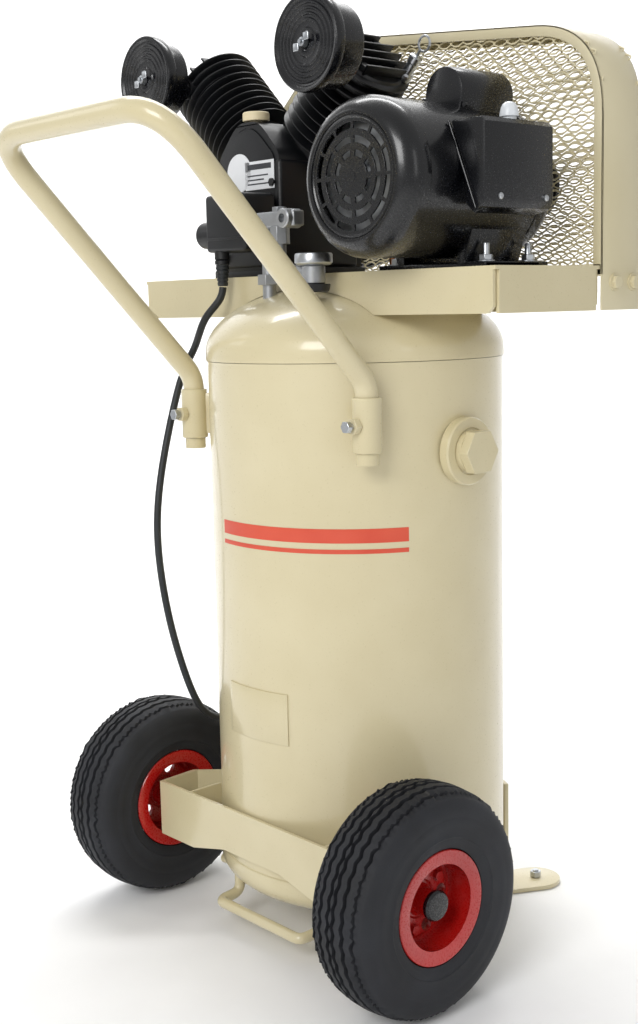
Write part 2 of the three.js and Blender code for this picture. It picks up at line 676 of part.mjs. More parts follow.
function crankcase() {
  const shell = slab(caseOutline(0), CASE_FRONT, CASE_BACK - CASE_FRONT, [], 3);
  const depth = CASE_BACK - CASE_FRONT;
  const middle = (CASE_BACK + CASE_FRONT) / 2;
  const skirt = block(2 * CASE_HALF + 5, depth + 2, 128, [PUMP_X, middle - 1, PLAT_TOP + 75]);
  const foot = block(2 * CASE_HALF + 34, depth, 10, [PUMP_X, middle, PLAT_TOP + GAP + 5]);
  const hollow = slab(caseOutline(-9), CASE_FRONT + 10, CASE_BACK - CASE_FRONT);
  const bosses = ["left", "right"].map((side) => {
    const s = side === "left" ? -1 : 1;
    return onCylinder(rod(42, 30, "z", [0, CYL_Y[side], CYL_BASE - GAP - 15], 28), s);
  });
  const bores = ["left", "right"].map((side) => {
    const s = side === "left" ? -1 : 1;
    return onCylinder(rod(BORE_R + 3, 50, "z", [0, CYL_Y[side], CYL_BASE - 10], 28), s);
  });
  const filler = rod(8, 30, "z", [PUMP_X, CAP_Y, CASE_SHOULDER + 40], 16);
  const body = join(shell, skirt, foot, ...bosses);
  return cut(body, hollow, ...bores, filler);
}

const CAP_Y = -44;
const COVER_T = 9;
function crankcaseCover() {
  const lid = slab(caseOutline(-1), CASE_BACK + GAP, COVER_T, [circle(PUMP_X, PUMP_Z, 12.4, 24)]);
  return lid;
}

function cylinderSolid(side) {
  const s = side === "left" ? -1 : 1;
  const y = CYL_Y[side];
  const barrel = rod(BORE_R + 7, HEAD_AT - CYL_BASE - 2 * GAP, "z", [0, y, (HEAD_AT + CYL_BASE) / 2], 22);
  const fins = [];
  for (let i = 0; i < FIN_COUNT; i += 1) {
    const at = CYL_BASE + 8 + i * FIN_PITCH;
    fins.push(rod(FIN_R, 3.4, "z", [0, y, at], 22));
  }
  const bore = rod(BORE_R + 0.2, 300, "z", [0, y, HEAD_AT], 22);
  return onCylinder(cut(join(barrel, ...fins), bore), s);
}

// Finned head: round fins carried on a solid crown, with upright ribs across the top.
function headSolid(side) {
  const s = side === "left" ? -1 : 1;
  const y = CYL_Y[side];
  const crown = rod(FIN_R - 9, HEAD_TOP - HEAD_AT - 2 * GAP, "z", [0, y, (HEAD_TOP + HEAD_AT) / 2], 22);
  const fins = [0, 1, 2].map((i) => rod(FIN_R, 3.4, "z", [0, y, HEAD_AT + 4 + i * FIN_PITCH], 22));
  const ribs = [-24, -8, 8, 24].map((b) =>
    block(3.4, 2 * FIN_R - 30 - Math.abs(b), 14, [b, y, HEAD_TOP + 5]),
  );
  const inlet = rod(NECK_R + 2, FIN_R - 10, "y", [0, y - FIN_R / 2 - 5, HEAD_TOP - 12], 16);
  const chamber = rod(BORE_R - 4, 14, "z", [0, y, HEAD_AT + 4], 20);
  const extra = side === "right" ? [rod(10, 20, "x", [FIN_R - 10, PIPE_Y, HEAD_AT + 16], 12)] : [];
  const valveHole = rod(6, 60, "z", [VALVE_B, VALVE_Y, HEAD_TOP], 12);
  const valveSeat = rod(11, 60, "z", [VALVE_B, VALVE_Y, HEAD_TOP + 27.4], 12);
  const whole = cut(join(crown, ...fins, ...ribs, inlet, ...extra), chamber);
  return onCylinder(side === "right" ? cut(whole, valveHole, valveSeat) : whole, s);
}

const NECK_R = 11;

function filterSolid(side) {
  const s = side === "left" ? -1 : 1;
  const headFront = CYL_Y[side] - FIN_R;
  const f = FILTER_FRONT;
  const back = Math.min(f + FILTER_DEPTH, headFront - 4);
  const profile = [
    [0, f + 2], [16, f + 2], [17, f + 4], [30, f + 4], [31, f + 1], [FILTER_R - 4, f], [FILTER_R, f + 4],
    [FILTER_R, f + 13], [FILTER_R - 6, f + 16], [FILTER_R - 7, back - 4], [FILTER_R - 11, back], [0, back],
  ];
  const body = turned(profile, "y", [0, 0, 0], 28);
  const reach = (HEAD_TOP - 12) * S45;
  const end = headFront - 2 * GAP;
  const neckAt = [s * (reach - FILTER_SIDE), (end + back - 6) / 2, reach - FILTER_UP];
  const neck = rod(NECK_R, end - back + 6, "y", neckAt, 16);
  return join(body, neck);
}

function filterSeat(side) {
  const s = side === "left" ? -1 : 1;
  return [PUMP_X + s * FILTER_SIDE, 0, PUMP_Z + FILTER_UP];
}

function wingNut() {
  const hub = rod(5, 8, "y", [0, -4, 0], 12);
  const wings = [-1, 1].map((s) => block(9, 3, 9, [s * 8, -6, s * 5]));
  return join(hub, ...wings);
}

const SWEPT = THROW + 18; // the crank stays inside this radius

// Piston with its rod; the rod stops short of the crank, which turns freely past it.
function pistonSolid(side) {
  const s = side === "left" ? -1 : 1;
  const y = CYL_Y[side];
  const top = HEAD_AT - THROW - 5;
  const crown = rod(BORE_R - 0.3, 42, "z", [0, y, top - 21], 22);
  const skirt = rod(BORE_R - 5, 40, "z", [0, y, top - 28], 20);
  const pin = rod(8, 2 * BORE_R - 6, "y", [0, y, top - 24], 12);
  const foot = SWEPT + THROW + 3;
  const arm = block(14, 10, top - 24 - foot, [0, y, (top - 24 + foot) / 2]);
  return onCylinder(join(cut(crown, skirt), pin, arm), s);
}

function crankSolid() {
  const front = CASE_FRONT + 12;
  const end = BELT_Y + 14;
  const shaft = rod(12, end - front, "y", [PUMP_X, (end + front) / 2, PUMP_Z], 20);
  const throwZ = PUMP_Z + THROW - 4;
  const pin = rod(10, 2 * BANK_STEP + 22, "y", [PUMP_X, PUMP_Y, throwZ], 16);
  const web = rod(SWEPT - 6, 7, "y", [PUMP_X, PUMP_Y - BANK_STEP - 14, PUMP_Z - 4], 20);
  return join(shaft, pin, web);
}

function flywheelSolid() {
  const half = 13;
  const rim = ring(
    [
      [FLYWHEEL_R - 14, -half], [FLYWHEEL_R, -half], [FLYWHEEL_R, -7], [FLYWHEEL_R - 8, -3.4],
      [FLYWHEEL_R - 8, 3.4], [FLYWHEEL_R, 7], [FLYWHEEL_R, half], [FLYWHEEL_R - 14, half],
    ],
    "y",
    [0, 0, 0],
    36,
  );
  const hub = rod(24, 2 * half, "y", [0, 0, 0], 24);
  const spokes = Array.from({ length: 5 }, (_, i) =>
    block(FLYWHEEL_R - 28, 12, 13, [(FLYWHEEL_R - 28) / 2 + 17, 0, 0]).rotate([0, 72 * i, 0]),
  );
  return cut(join(hub, rim, ...spokes), rod(12 + GAP, 60, "y", [0, 0, 0], 24));
}

function pump() {
  piece("crankcase", crankcase(), CASTING);
  piece("crankcase_cover", crankcaseCover(), CASTING);
  for (const side of ["left", "right"]) {
    piece("cylinder_" + side, cylinderSolid(side), CASTING);
    piece("head_" + side, headSolid(side), CASTING);
    piece("filter_" + side, filterSolid(side), BLACK, filterSeat(side));
    const [x, , z] = filterSeat(side);
    piece("wing_nut_" + side, wingNut(), ZINC, [x, FILTER_FRONT + 2 - GAP, z]);
    piece("piston_" + side, pistonSolid(side), ALLOY);
  }
  piece("crankshaft", crankSolid(), ZINC);
  piece("flywheel", flywheelSolid(), CASTING, [PUMP_X, BELT_Y, PUMP_Z]);
  const cap = join(rod(16.5, 11, "z", [0, 0, 7], 24), rod(7.6, 18, "z", [0, 0, -6], 16));
  piece("oil_cap", cap, CREAM, [PUMP_X, CAP_Y, CASE_SHOULDER + 41 + GAP]);
  piece("safety_valve", safetyValve(), ZINC);
  piece("valve_ring", valveRing(), ZINC);
  piece("discharge_pipe", dischargePipe(), COPPER);
}

// ---- drive --------------------------------------------------------------------------------------
function beltSolid() {
  const big = FLYWHEEL_R - 8 + GAP;
  const small = PULLEY_R - 8 + GAP;
  const span = Math.hypot(MOTOR_X - PUMP_X, MOTOR_Z - PUMP_Z);
  const tilt = Math.atan2(MOTOR_Z - PUMP_Z, MOTOR_X - PUMP_X);
  const lean = Math.acos((big - small) / span);
  const loop = (grow) => {
    const arc = (cx, cz, r, from, to, count) =>
      Array.from({ length: count + 1 }, (_, i) => {
        const t = tilt + from + ((to - from) * i) / count;
        return [cx + (r + grow) * Math.cos(t), cz + (r + grow) * Math.sin(t)];
      });
    return [
      ...arc(PUMP_X, PUMP_Z, big, lean, 2 * Math.PI - lean, 24),
      ...arc(MOTOR_X, MOTOR_Z, small, -lean, lean, 10),
    ];
  };
  return slab(loop(7), BELT_Y - 3, 6, [loop(0.7)]);
}

function motorPulleySolid() {
  const profile = [
    [10 + GAP, -12], [PULLEY_R, -12], [PULLEY_R, -7], [PULLEY_R - 8, -3.4], [PULLEY_R - 8, 3.4],
    [PULLEY_R, 7], [PULLEY_R, 12], [10 + GAP, 12],
  ];
  return ring(profile, "y", [0, 0, 0], 28);
}

// ---- motor --------------------------------------------------------------------------------------
const BELL_FRONT = MOTOR_FRONT + 34;
const BELL_REAR = MOTOR_REAR - 34;
const LEG_FRONT = -46;
const LEG_LENGTH = 89;
const PAD_LENGTH = 104;

function motorFrame() {
  const length = BELL_REAR - BELL_FRONT - 2 * GAP;
  const mid = (BELL_REAR + BELL_FRONT) / 2;
  const shell = ring(
    [[MOTOR_R - 26, -length / 2], [MOTOR_R, -length / 2], [MOTOR_R, length / 2], [MOTOR_R - 26, length / 2]],
    "y",
    [MOTOR_X, mid, MOTOR_Z],
    36,
  );
  const base = PLAT_TOP + GAP;
  const legs = [-1, 1].map((s) => {
    const outline = [
      [s * (MOTOR_R - 42), MOTOR_Z - MOTOR_R + 14], [s * (MOTOR_R - 18), MOTOR_Z - MOTOR_R + 34],
      [s * 50, base + 6],
      [s * 80, base + 6], [s * 80, base], [s * 40, base],
    ].map(([x, z]) => [x + MOTOR_X, z]);
    return slab(outline, LEG_FRONT, LEG_LENGTH);
  });
  const bridge = block(160, PAD_LENGTH, 6, [MOTOR_X, LEG_FRONT + PAD_LENGTH / 2, base + 3]);
  const studs = [-29, 40].flatMap((y) => [-1, 1].map((s) => {
    const x = MOTOR_X + s * 66;
    return join(rod(4, 26, "z", [x, y, base + 13], 12), hexBar(14, 8, "z", [x, y, base + 9.5]));
  }));
  return join(shell, ...legs, bridge, ...studs);
}

// Arc-shaped vent openings in three rings, parted by six webs.
function ventHoles() {
  const holes = [];
  for (const [r0, r1, count] of [[21, 27, 4], [34, 41, 5], [48, 55, 5]]) {
    for (let i = 0; i < count; i += 1) {
      const a0 = (2 * Math.PI * i) / count + 0.1;
      const a1 = (2 * Math.PI * (i + 1)) / count - 0.1;
      const arc = (r, from, to) =>
        [0, 1, 2].map((k) => {
          const t = from + ((to - from) * k) / 2;
          return [r * Math.cos(t), r * Math.sin(t)];
        });
      holes.push([...arc(r0, a0, a1), ...arc(r1, a1, a0)]);
    }
  }
  return holes;
}

function frontBell() {
  const d = BELL_FRONT - MOTOR_FRONT;
  const rim = ring(
    [
      [63, 3], [64, 0], [67, 0.5], [74, 5], [80, 13], [MOTOR_R + 1, 22], [MOTOR_R + 1, d],
      [MOTOR_R - 4, d], [MOTOR_R - 4, 24], [74, 14], [66, 6], [63, 6],
    ],
    "y",
    [0, 0, 0],
    36,
  );
  const face = slab(circle(0, 0, 64.6, 36), 2.2, 3.2, ventHoles());
  const boss = rod(16, 12, "y", [0, 9, 0], 20);
  return cut(join(rim, face, boss), rod(8 + GAP, 14, "y", [0, 13, 0], 20));
}

function rearBell() {
  const d = MOTOR_REAR - BELL_REAR;
  const dish = ring(
    [
      [10 + GAP, d - 6], [30, d - 6], [60, d - 8], [74, d - 18], [MOTOR_R - 5, 2], [MOTOR_R - 5, 0],
      [MOTOR_R + 1, 0], [MOTOR_R + 1, d - 22], [78, d - 10], [64, d - 2], [34, d], [10 + GAP, d],
    ],
    "y",
    [0, 0, 0],
    36,
  );
  return dish;
}

function rotorSolid() {
  const y0 = MOTOR_FRONT + 8;
  const y1 = BELT_Y + 13;
  const shaft = rod(10 - 2, y1 - y0, "y", [0, (y0 + y1) / 2, 0], 20);
  const tail = rod(10, y1 - BELL_REAR + 20, "y", [0, (y1 + BELL_REAR - 20) / 2, 0], 20);
  const core = rod(MOTOR_R - 27, 100, "y", [0, (BELL_FRONT + BELL_REAR) / 2, 0], 24);
  const blade = (i) => block(34, 10, 3, [30, BELL_FRONT - 6, 0]).rotate([0, 60 * i, 0]);
  const fan = Array.from({ length: 6 }, (_, i) => blade(i));
  return join(shaft, tail, core, rod(18, 12, "y", [0, BELL_FRONT - 6, 0], 20), ...fan);
}

// Rounded capacitor cover lying on the motor body: half round on top, open below.
function capacitorCover(r, tilt, y0, length) {
  const arch = (size) => circle(0, 0, size, 16).filter(([, z]) => z > -0.01);
  const half = (size, low) => [...arch(size), [-size, low], [size, low]];
  const lift = MOTOR_R + r - 16;
  const shell = slab(half(r, -r - 16), y0, length, [], 2.5);
  const pocket = slab(half(r - 3.5, -r - 20), y0 + 4, length - 8);
  const bore = rod(MOTOR_R + 1 + GAP, 400, "y", [0, 0, 0], 44);
  return cut(cut(shell, pocket).translate([0, 0, lift]).rotate([0, tilt, 0]), bore);
}

const BOX_X = MOTOR_R + 3;
const RESET_X = BOX_X + 15;
const RESET_Y = -31;
const RESET_TRAVEL = 3;
const RESET_STEM = 7.6;
const BOX_TOP = 54;
function terminalBox() {
  const outline = [
    [BOX_X - 14, -30], [BOX_X + 4, -40], [BOX_X + 26, -34], [BOX_X + 30, -26],
    [BOX_X + 30, 50], [BOX_X + 22, BOX_TOP], [BOX_X - 50, BOX_TOP],
  ];
  const body = slab(outline, -86, 110, [], 3);
  const slope = slab([[BOX_X - 60, 60], [BOX_X + 60, 60], [BOX_X + 60, -60]], -90, 6);
  const bore = rod(MOTOR_R + GAP + 1, 400, "y", [0, 0, 0], 44);
  const seat = rod(RESET_STEM + 2 * GAP, 30, "z", [RESET_X, RESET_Y, BOX_TOP - 4], 16);
  return cut(body, bore, seat, slope);
}

// The flange stands its own travel above the box, so that the button has room to be pressed.
function resetButton() {
  const rim = RESET_TRAVEL + GAP;
  const cap = [[RESET_STEM + 2.4, rim], [RESET_STEM + 2.4, 8], [8, 14.5], [4, 17.5], [0, 18.5]];
  return turned([[0, -12], [RESET_STEM, -12], [RESET_STEM, rim], ...cap], "z", [0, 0, 0], 20);
}

function motor() {
  const at = [MOTOR_X, 0, MOTOR_Z];
  piece("motor_frame", motorFrame(), BLACK);
  piece("motor_front_bell", frontBell(), BLACK, [MOTOR_X, MOTOR_FRONT, MOTOR_Z]);
  piece("motor_rear_bell", rearBell(), BLACK, [MOTOR_X, BELL_REAR, MOTOR_Z]);
  piece("rotor", rotorSolid(), ZINC, at);
  piece("motor_pulley", motorPulleySolid(), CASTING, [MOTOR_X, BELT_Y, MOTOR_Z]);
  piece("belt", beltSolid(), RUBBER);
  piece("capacitor_cover_right", capacitorCover(27, 10, -40, 84), BLACK, at);
  piece("capacitor_cover_left", capacitorCover(20, -38, -40, 84), BLACK, at);
  piece("terminal_box", terminalBox(), BLACK, at);
  piece("reset_button", resetButton(), CLEAR, [MOTOR_X + RESET_X, RESET_Y, MOTOR_Z + BOX_TOP + GAP]);
}

// ---- air lines and controls ---------------------------------------------------------------------
const PIPE_X = 40;
const PIPE_Y = PUMP_Y + BANK_STEP + 10;
const RISER_X = -30;
const RISER_Y = -106;
const RAIL_Y = -110;
const RAIL_Z = PLAT_TOP + 62.5;
const RAIL_LEFT = -58;
const RAIL_RIGHT = 30;
const REG_X = 62;
const REG_Y = -(TANK_R - 60);
const REG_Z = PLAT_TOP - 2;
const VALVE_B = 30;
const VALVE_Y = 58;

// Pipe from the right head down through the platform into the check valve on the tank.
function dischargePipe() {
  const r = 7;
  const a = HEAD_AT + 16;
  const out = FIN_R + GAP;
  const at = (b) => v3(PUMP_X + (a + b) * S45, PIPE_Y, PUMP_Z + (a - b) * S45);
  const foot = domeZ(Math.hypot(PIPE_X, PIPE_Y));
  const path = bentPath(
    [at(out), at(out + 26), v3(PIPE_X, PIPE_Y, PLAT_TOP + 120), v3(PIPE_X, PIPE_Y, foot - 8)],
    [14, 20],
  );
  const nut = hexBar(19, 14, "z", [PIPE_X, PIPE_Y, foot + 12]);
  return join(tube(path, r, 10, 26), nut);
}

function safetyValve() {
  const base = HEAD_TOP - 3;
  const body = turned(
    [[0, -12], [5, -12], [5, 1], [9, 1], [9, 9], [6.5, 11], [6.5, 26], [8, 28], [8, 34], [0, 34]],
    "z",
    [VALVE_B, VALVE_Y, base],
    16,
  );
  return onCylinder(body, 1);
}

function valveRing() {
  const base = HEAD_TOP + 31 + GAP;
  const stem = rod(2, 8, "z", [VALVE_B, VALVE_Y, base + 4], 10);
  const torus = new THREE.TorusGeometry(9, 1.6, 6, 16).rotateX(Math.PI / 2);
  const loop = solid(torus.translate(VALVE_B, VALVE_Y, base + 17));
  return onCylinder(join(stem, loop), 1);
}

const SWITCH = {
  left: -138, right: -62, front: -116, back: -66, low: PLAT_TOP + 30, high: PLAT_TOP + 98,
};

function pressureSwitch() {
  const { left, right, front, back, low, high } = SWITCH;
  const box = slab(rectangle(left, low, right, high), front, back - front, [], 4);
  const end = rod(16, 26, "x", [left - 11, -98, low + 22], 24);
  const gland = rod(9, 16, "z", [GLAND_X, GLAND_Y, low - 6], 16);
  const port = rod(6 + GAP, 20, "x", [right, RAIL_Y, RAIL_Z], 16);
  return cut(join(box, end, gland), port);
}

function manifold() {
  const rail = block(RAIL_RIGHT - RAIL_LEFT, 17, 18, [(RAIL_RIGHT + RAIL_LEFT) / 2, RAIL_Y, RAIL_Z]);
  const nipple = rod(6, 20, "x", [RAIL_LEFT - 4, RAIL_Y, RAIL_Z], 16);
  const port = rod(11, 24, "y", [RAIL_RIGHT - 12, RAIL_Y - 4, RAIL_Z], 20);
  const drop = hexBar(20, 20, "z", [-4, RAIL_Y, RAIL_Z - 18]);
  const foot = domeZ(Math.hypot(RISER_X, RISER_Y));
  const riser = rod(8, RAIL_Z - foot + 8, "z", [RISER_X, RISER_Y, (RAIL_Z + foot - 8) / 2], 14);
  const collar = hexBar(24, 12, "z", [RISER_X, RISER_Y, foot + 22]);
  const run = bentPath(
    [v3(-4, RAIL_Y, RAIL_Z - 20), v3(-4, RAIL_Y, REG_Z + 8), v3(REG_X - 8, REG_Y, REG_Z + 2)],
    [12],
  );
  const body = rod(13, 20, "z", [REG_X, REG_Y, REG_Z], 20);
  const recess = rod(5, 18, "y", [RAIL_RIGHT - 12, RAIL_Y - 12, RAIL_Z], 12);
  const knobHole = rod(5 + GAP, 14, "z", [REG_X, REG_Y, REG_Z - 8], 12);
  return cut(join(rail, nipple, port, drop, riser, collar, tube(run, 7, 10, 14), body), recess, knobHole);
}

function regulatorKnob() {
  const grip = rod(18.5, 9, "z", [0, 0, -4.5 - GAP], 24, 17);
  return join(grip, rod(5, 10, "z", [0, 0, 1], 12));
}

function gaugeSolid() {
  const side = [[0, 0], [18, 0], [21.5, 3], [21.5, 12], [20, 13.5], [18, 12], [0, 12]];
  const can = turned(side, "z", [0, 0, 0], 28);
  return can;
}

function controls() {
  piece("pressure_switch", pressureSwitch(), PLASTIC);
  piece("manifold", manifold(), ALLOY);
  piece("regulator_knob", regulatorKnob(), PLASTIC, [REG_X, REG_Y, REG_Z - 10]);
  piece("gauge", gaugeSolid(), ZINC, [REG_X, REG_Y, REG_Z + 10 + GAP]);
}

// ---- power cord ---------------------------------------------------------------------------------
const GLAND_X = -119;
const GLAND_Y = -106;
const RELIEF = 26;
const COIL_X = -240;
const COIL_Y = 150;
const COIL_R = 55;
const PLUG_AHEAD = 64;

const CORD_TOP = SWITCH.low - 14 - 2 * GAP - RELIEF - 1;

function cordCentre() {
  const rise = TANK_R - 178;
  const points = [
    [GLAND_X, GLAND_Y, CORD_TOP], [GLAND_X, GLAND_Y - 1, CORD_TOP - 8], [-121, -112, 780],
    [-136, -122, 752], [-170 - rise, -112, 716], [-186 - rise, -117, 691], [-191 - rise, -126, 664],
    [-195 - rise, -137, 623], [-187 - rise, -160, 563],
    [-180 - rise, -175, 507], [-178 - rise, -176, 449], [-172 - rise, -168, 374], [-160 - rise, -151, 294],
    [-158 - rise, -132, 252], [-174 - rise, -88, 226], [-187 - rise, -36, 214], [-194 - rise, 10, 182],
    [-190 - rise, 52, 120], [-182 - rise, 70, 60], [-178 - rise, 84, 26], [-181 - rise, 110, 12],
  ];
  return new THREE.CatmullRomCurve3(points.map((p) => v3(...p)), false, "centripetal");
}

function cord() {
  const reliefAt = [GLAND_X, GLAND_Y, CORD_TOP + 1 + GAP + RELIEF / 2];
  const relief = rod(CORD_R + 1.4, RELIEF, "z", reliefAt, 16, CORD_R + 4);
  piece("strain_relief", relief, RUBBER);
  piece("power_cord", tube(cordCentre(), CORD_R, 8, 44), RUBBER);
  const coil = ring(circle(COIL_R, 10.5, 9.5, 10), "z", [COIL_X, COIL_Y, 0], 36);
  piece("cord_coil", coil, RUBBER);
  const blades = [-6, 6].map((x) => block(1.6, 18, 6.4, [x, 31, 0]));
  const shell = join(rod(14, 24, "y", [0, 10, 0], 16, 16), rod(7, 22, "y", [0, -12, 0], 16, 14));
  piece("plug", join(shell, ...blades), RUBBER, [COIL_X + COIL_R, COIL_Y + PLUG_AHEAD, 17]);
}

tank();
drain();
drainGuard();
feet();
runningGear();
handle();
piece("platform", platformSolid(), CREAM);
guard();
pump();
motor();
controls();
cord();

// ---- centre the footprint on the origin ---------------------------------------------------------
model.updateMatrixWorld(true);
const CORD_NODES = ["power_cord", "cord_coil", "plug", "strain_relief"];
const bounds = new THREE.Box3();
for (const child of model.children) {
  if (!CORD_NODES.includes(child.name)) bounds.expandByObject(child);
}
model.position.set(-(bounds.min.x + bounds.max.x) / 2, -(bounds.min.y + bounds.max.y) / 2, 0);

export default model;
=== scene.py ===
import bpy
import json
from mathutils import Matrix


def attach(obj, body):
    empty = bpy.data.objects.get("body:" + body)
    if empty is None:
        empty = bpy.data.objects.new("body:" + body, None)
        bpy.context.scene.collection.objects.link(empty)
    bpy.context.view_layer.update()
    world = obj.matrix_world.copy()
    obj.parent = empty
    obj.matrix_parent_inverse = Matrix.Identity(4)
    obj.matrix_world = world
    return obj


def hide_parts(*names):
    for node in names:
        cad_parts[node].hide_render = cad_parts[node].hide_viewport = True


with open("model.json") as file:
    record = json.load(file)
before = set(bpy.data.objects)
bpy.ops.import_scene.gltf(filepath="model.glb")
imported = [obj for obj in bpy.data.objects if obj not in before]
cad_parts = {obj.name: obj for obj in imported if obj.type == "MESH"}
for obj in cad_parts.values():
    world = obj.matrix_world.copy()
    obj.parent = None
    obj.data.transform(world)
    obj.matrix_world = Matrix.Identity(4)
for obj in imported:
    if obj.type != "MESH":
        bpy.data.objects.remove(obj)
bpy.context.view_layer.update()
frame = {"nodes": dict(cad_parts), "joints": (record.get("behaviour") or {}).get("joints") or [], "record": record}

# %% [markdown]
# # An upright air compressor
# A tall cream tank stands on two rubber wheels and two feet, with a platform on top that carries a
# V-twin pump, an electric motor and a mesh belt guard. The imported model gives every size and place;
# this script adds the finer shapes and the finishes. Lengths are written in millimetres from the
# tank's axis and turned into metres by one function.

# %% Units and places
import json
import math
import bpy
from mathutils import Matrix, Vector

JOINTS = {joint["name"]: joint for joint in frame["joints"]}
TRACK_HALF, AXLE_Y, WHEEL_Z = 236.5, -144.7, 127.0
WHEEL_AT = Vector(JOINTS["wheel_right_spin"]["pos_m"])
TANK_AXIS = Vector((WHEEL_AT.x - TRACK_HALF / 1000, WHEEL_AT.y - AXLE_Y / 1000, 0.0))


def at(x, y, z):
    """A place given in millimetres from the tank's axis and the floor, in metres."""
    return TANK_AXIS + Vector((x, y, z)) / 1000


print("tank axis stands at", tuple(round(v, 4) for v in TANK_AXIS))

# %% [markdown]
# ## The camera
# A long lens a little below the top of the machine and to its right keeps uprights nearly parallel.
# Its place and aim are written as a bearing, a dip and a small roll.

# %% Camera
CAMERA_AT = (1234.56, -1156.95, 761.86)
BEARING, DIP, ROLL = math.radians(48.46), math.radians(8.48), math.radians(-1.27)
forward = Vector((-math.sin(BEARING) * math.cos(DIP), math.cos(BEARING) * math.cos(DIP), -math.sin(DIP)))
level = Vector((math.cos(BEARING), math.sin(BEARING), 0.0))
upright = level.cross(forward)
right = level * math.cos(ROLL) + upright * math.sin(ROLL)
up = upright * math.cos(ROLL) - level * math.sin(ROLL)
camera_data = bpy.data.cameras.new("camera")
camera_data.lens = 48.68
camera_data.sensor_width = 36.0
camera_data.clip_start = 0.05
camera = bpy.data.objects.new("camera", camera_data)
bpy.context.scene.collection.objects.link(camera)
turn = Matrix((right, up, -forward)).transposed().to_4x4()
camera.matrix_world = Matrix.Translation(at(*CAMERA_AT)) @ turn
bpy.context.scene.camera = camera

# %% [markdown]
# ## Materials
# Every finish is a small node tree. One helper adds a node with its settings and its links, so each
# material reads as a short list: where the pattern is measured, what the pattern is, what it changes.

# %% Node helpers
def linear(hex_colour):
    """An sRGB hex colour as the linear values a shader expects."""
    parts = [int(hex_colour[i:i + 2], 16) / 255 for i in (1, 3, 5)]
    return tuple(p / 12.92 if p <= 0.04045 else ((p + 0.055) / 1.055) ** 2.4 for p in parts) + (1.0,)


def node(tree, kind, settings=None, **links):
    """Adds one node: settings are attributes or sockets, links are sockets fed by other sockets."""
    made = tree.nodes.new("ShaderNode" + kind)
    for key, value in (settings or {}).items():
        if key in made.inputs:
            made.inputs[key].default_value = value
        else:
            setattr(made, key, value)
    for key, source in links.items():
        tree.links.new(source, made.inputs[key.replace("_", " ")])
    return made


def ramp(tree, fac, stops):
    """A colour ramp: stops are pairs of place and hex colour."""
    made = node(tree, "ValToRGB", Fac=fac)
    points = made.color_ramp.elements
    while len(points) < len(stops):
        points.new(0.5)
    for point, (place, colour) in zip(points, stops):
        point.position = place
        point.color = linear(colour)
    return made.outputs["Color"]


def material(name, settings):
    """A new material with a principled shader, and the object coordinates its patterns use."""
    made = bpy.data.materials.new(name)
    made.use_nodes = True
    tree = made.node_tree
    shader = tree.nodes["Principled BSDF"]
    for key, value in settings.items():
        shader.inputs[key].default_value = value
    place = node(tree, "TexCoord").outputs["Object"]
    return made, tree, shader, place


def surface(tree, shader, place, tones, grain_mm, rough, bump_mm, strength=0.5, mottle_mm=120.0):
    """Slow tone changes, fine grain in the gloss and a shallow relief, all from real sizes."""
    slow = node(tree, "TexNoise", {"Scale": 1000 / mottle_mm, "Detail": 4.0}, Vector=place)
    tree.links.new(ramp(tree, slow.outputs["Fac"], tones), shader.inputs["Base Color"])
    fine = node(tree, "TexNoise", {"Scale": 1000 / grain_mm, "Detail": 5.0}, Vector=place)
    gloss = node(tree, "MapRange", {"To Min": rough[0], "To Max": rough[1]}, Value=fine.outputs["Fac"])
    tree.links.new(gloss.outputs["Result"], shader.inputs["Roughness"])
    bump = {"Strength": strength, "Distance": bump_mm / 1000}
    relief = node(tree, "Bump", bump, Height=fine.outputs["Fac"])
    tree.links.new(relief.outputs["Normal"], shader.inputs["Normal"])
    return relief


# %% [markdown]
# ### Enamels
# The tank, handle and platform wear sprayed cream enamel: an even colour with the faintest mottle, a
# clear wet gloss, and the shallow orange peel that a spray gun leaves. The rims are the same in red,
# the motor and filters in black.

# %% Enamels
def enamel(name, tones, rough=(0.24, 0.34), coat=0.5):
    made, tree, shader, place = material(name, {"IOR": 1.5, "Coat Weight": coat, "Coat Roughness": 0.08})
    surface(tree, shader, place, tones, 2.2, rough, 0.05, 0.35)
    return made


CREAM = enamel("cream_sprayed_enamel", [(0.3, "#cdc19b"), (0.7, "#d5caa6")])
GUARD_CREAM = enamel("cream_dipped_enamel", [(0.3, "#cfc4a0"), (0.7, "#d7cdac")], (0.3, 0.42), 0.3)
RED = enamel("red_sprayed_enamel", [(0.3, "#a5120f"), (0.7, "#c01a16")], (0.22, 0.34))
BLACK = enamel("black_sprayed_enamel", [(0.3, "#050609"), (0.7, "#0a0b10")], (0.2, 0.34), 0.25)

# %% [markdown]
# ### Castings, rubber and bright metal
# The pump is sand cast iron under black paint: duller, with a grainy skin. Tyre rubber is nearly
# matt, with a dusty bloom. Bolts are zinc plated steel, the manifold is die cast alloy, and both
# take their gloss from fine scratches and grain.

# %% Castings, rubber and metals
def metal(name, tones, rough, grain_mm=1.2, bump_mm=0.02):
    made, tree, shader, place = material(name, {"Metallic": 1.0})
    surface(tree, shader, place, tones, grain_mm, rough, bump_mm, 0.4, 30.0)
    return made


def dull(name, tones, rough, grain_mm, bump_mm, strength=0.6, mottle_mm=60.0):
    made, tree, shader, place = material(name, {"IOR": 1.5})
    surface(tree, shader, place, tones, grain_mm, rough, bump_mm, strength, mottle_mm)
    return made


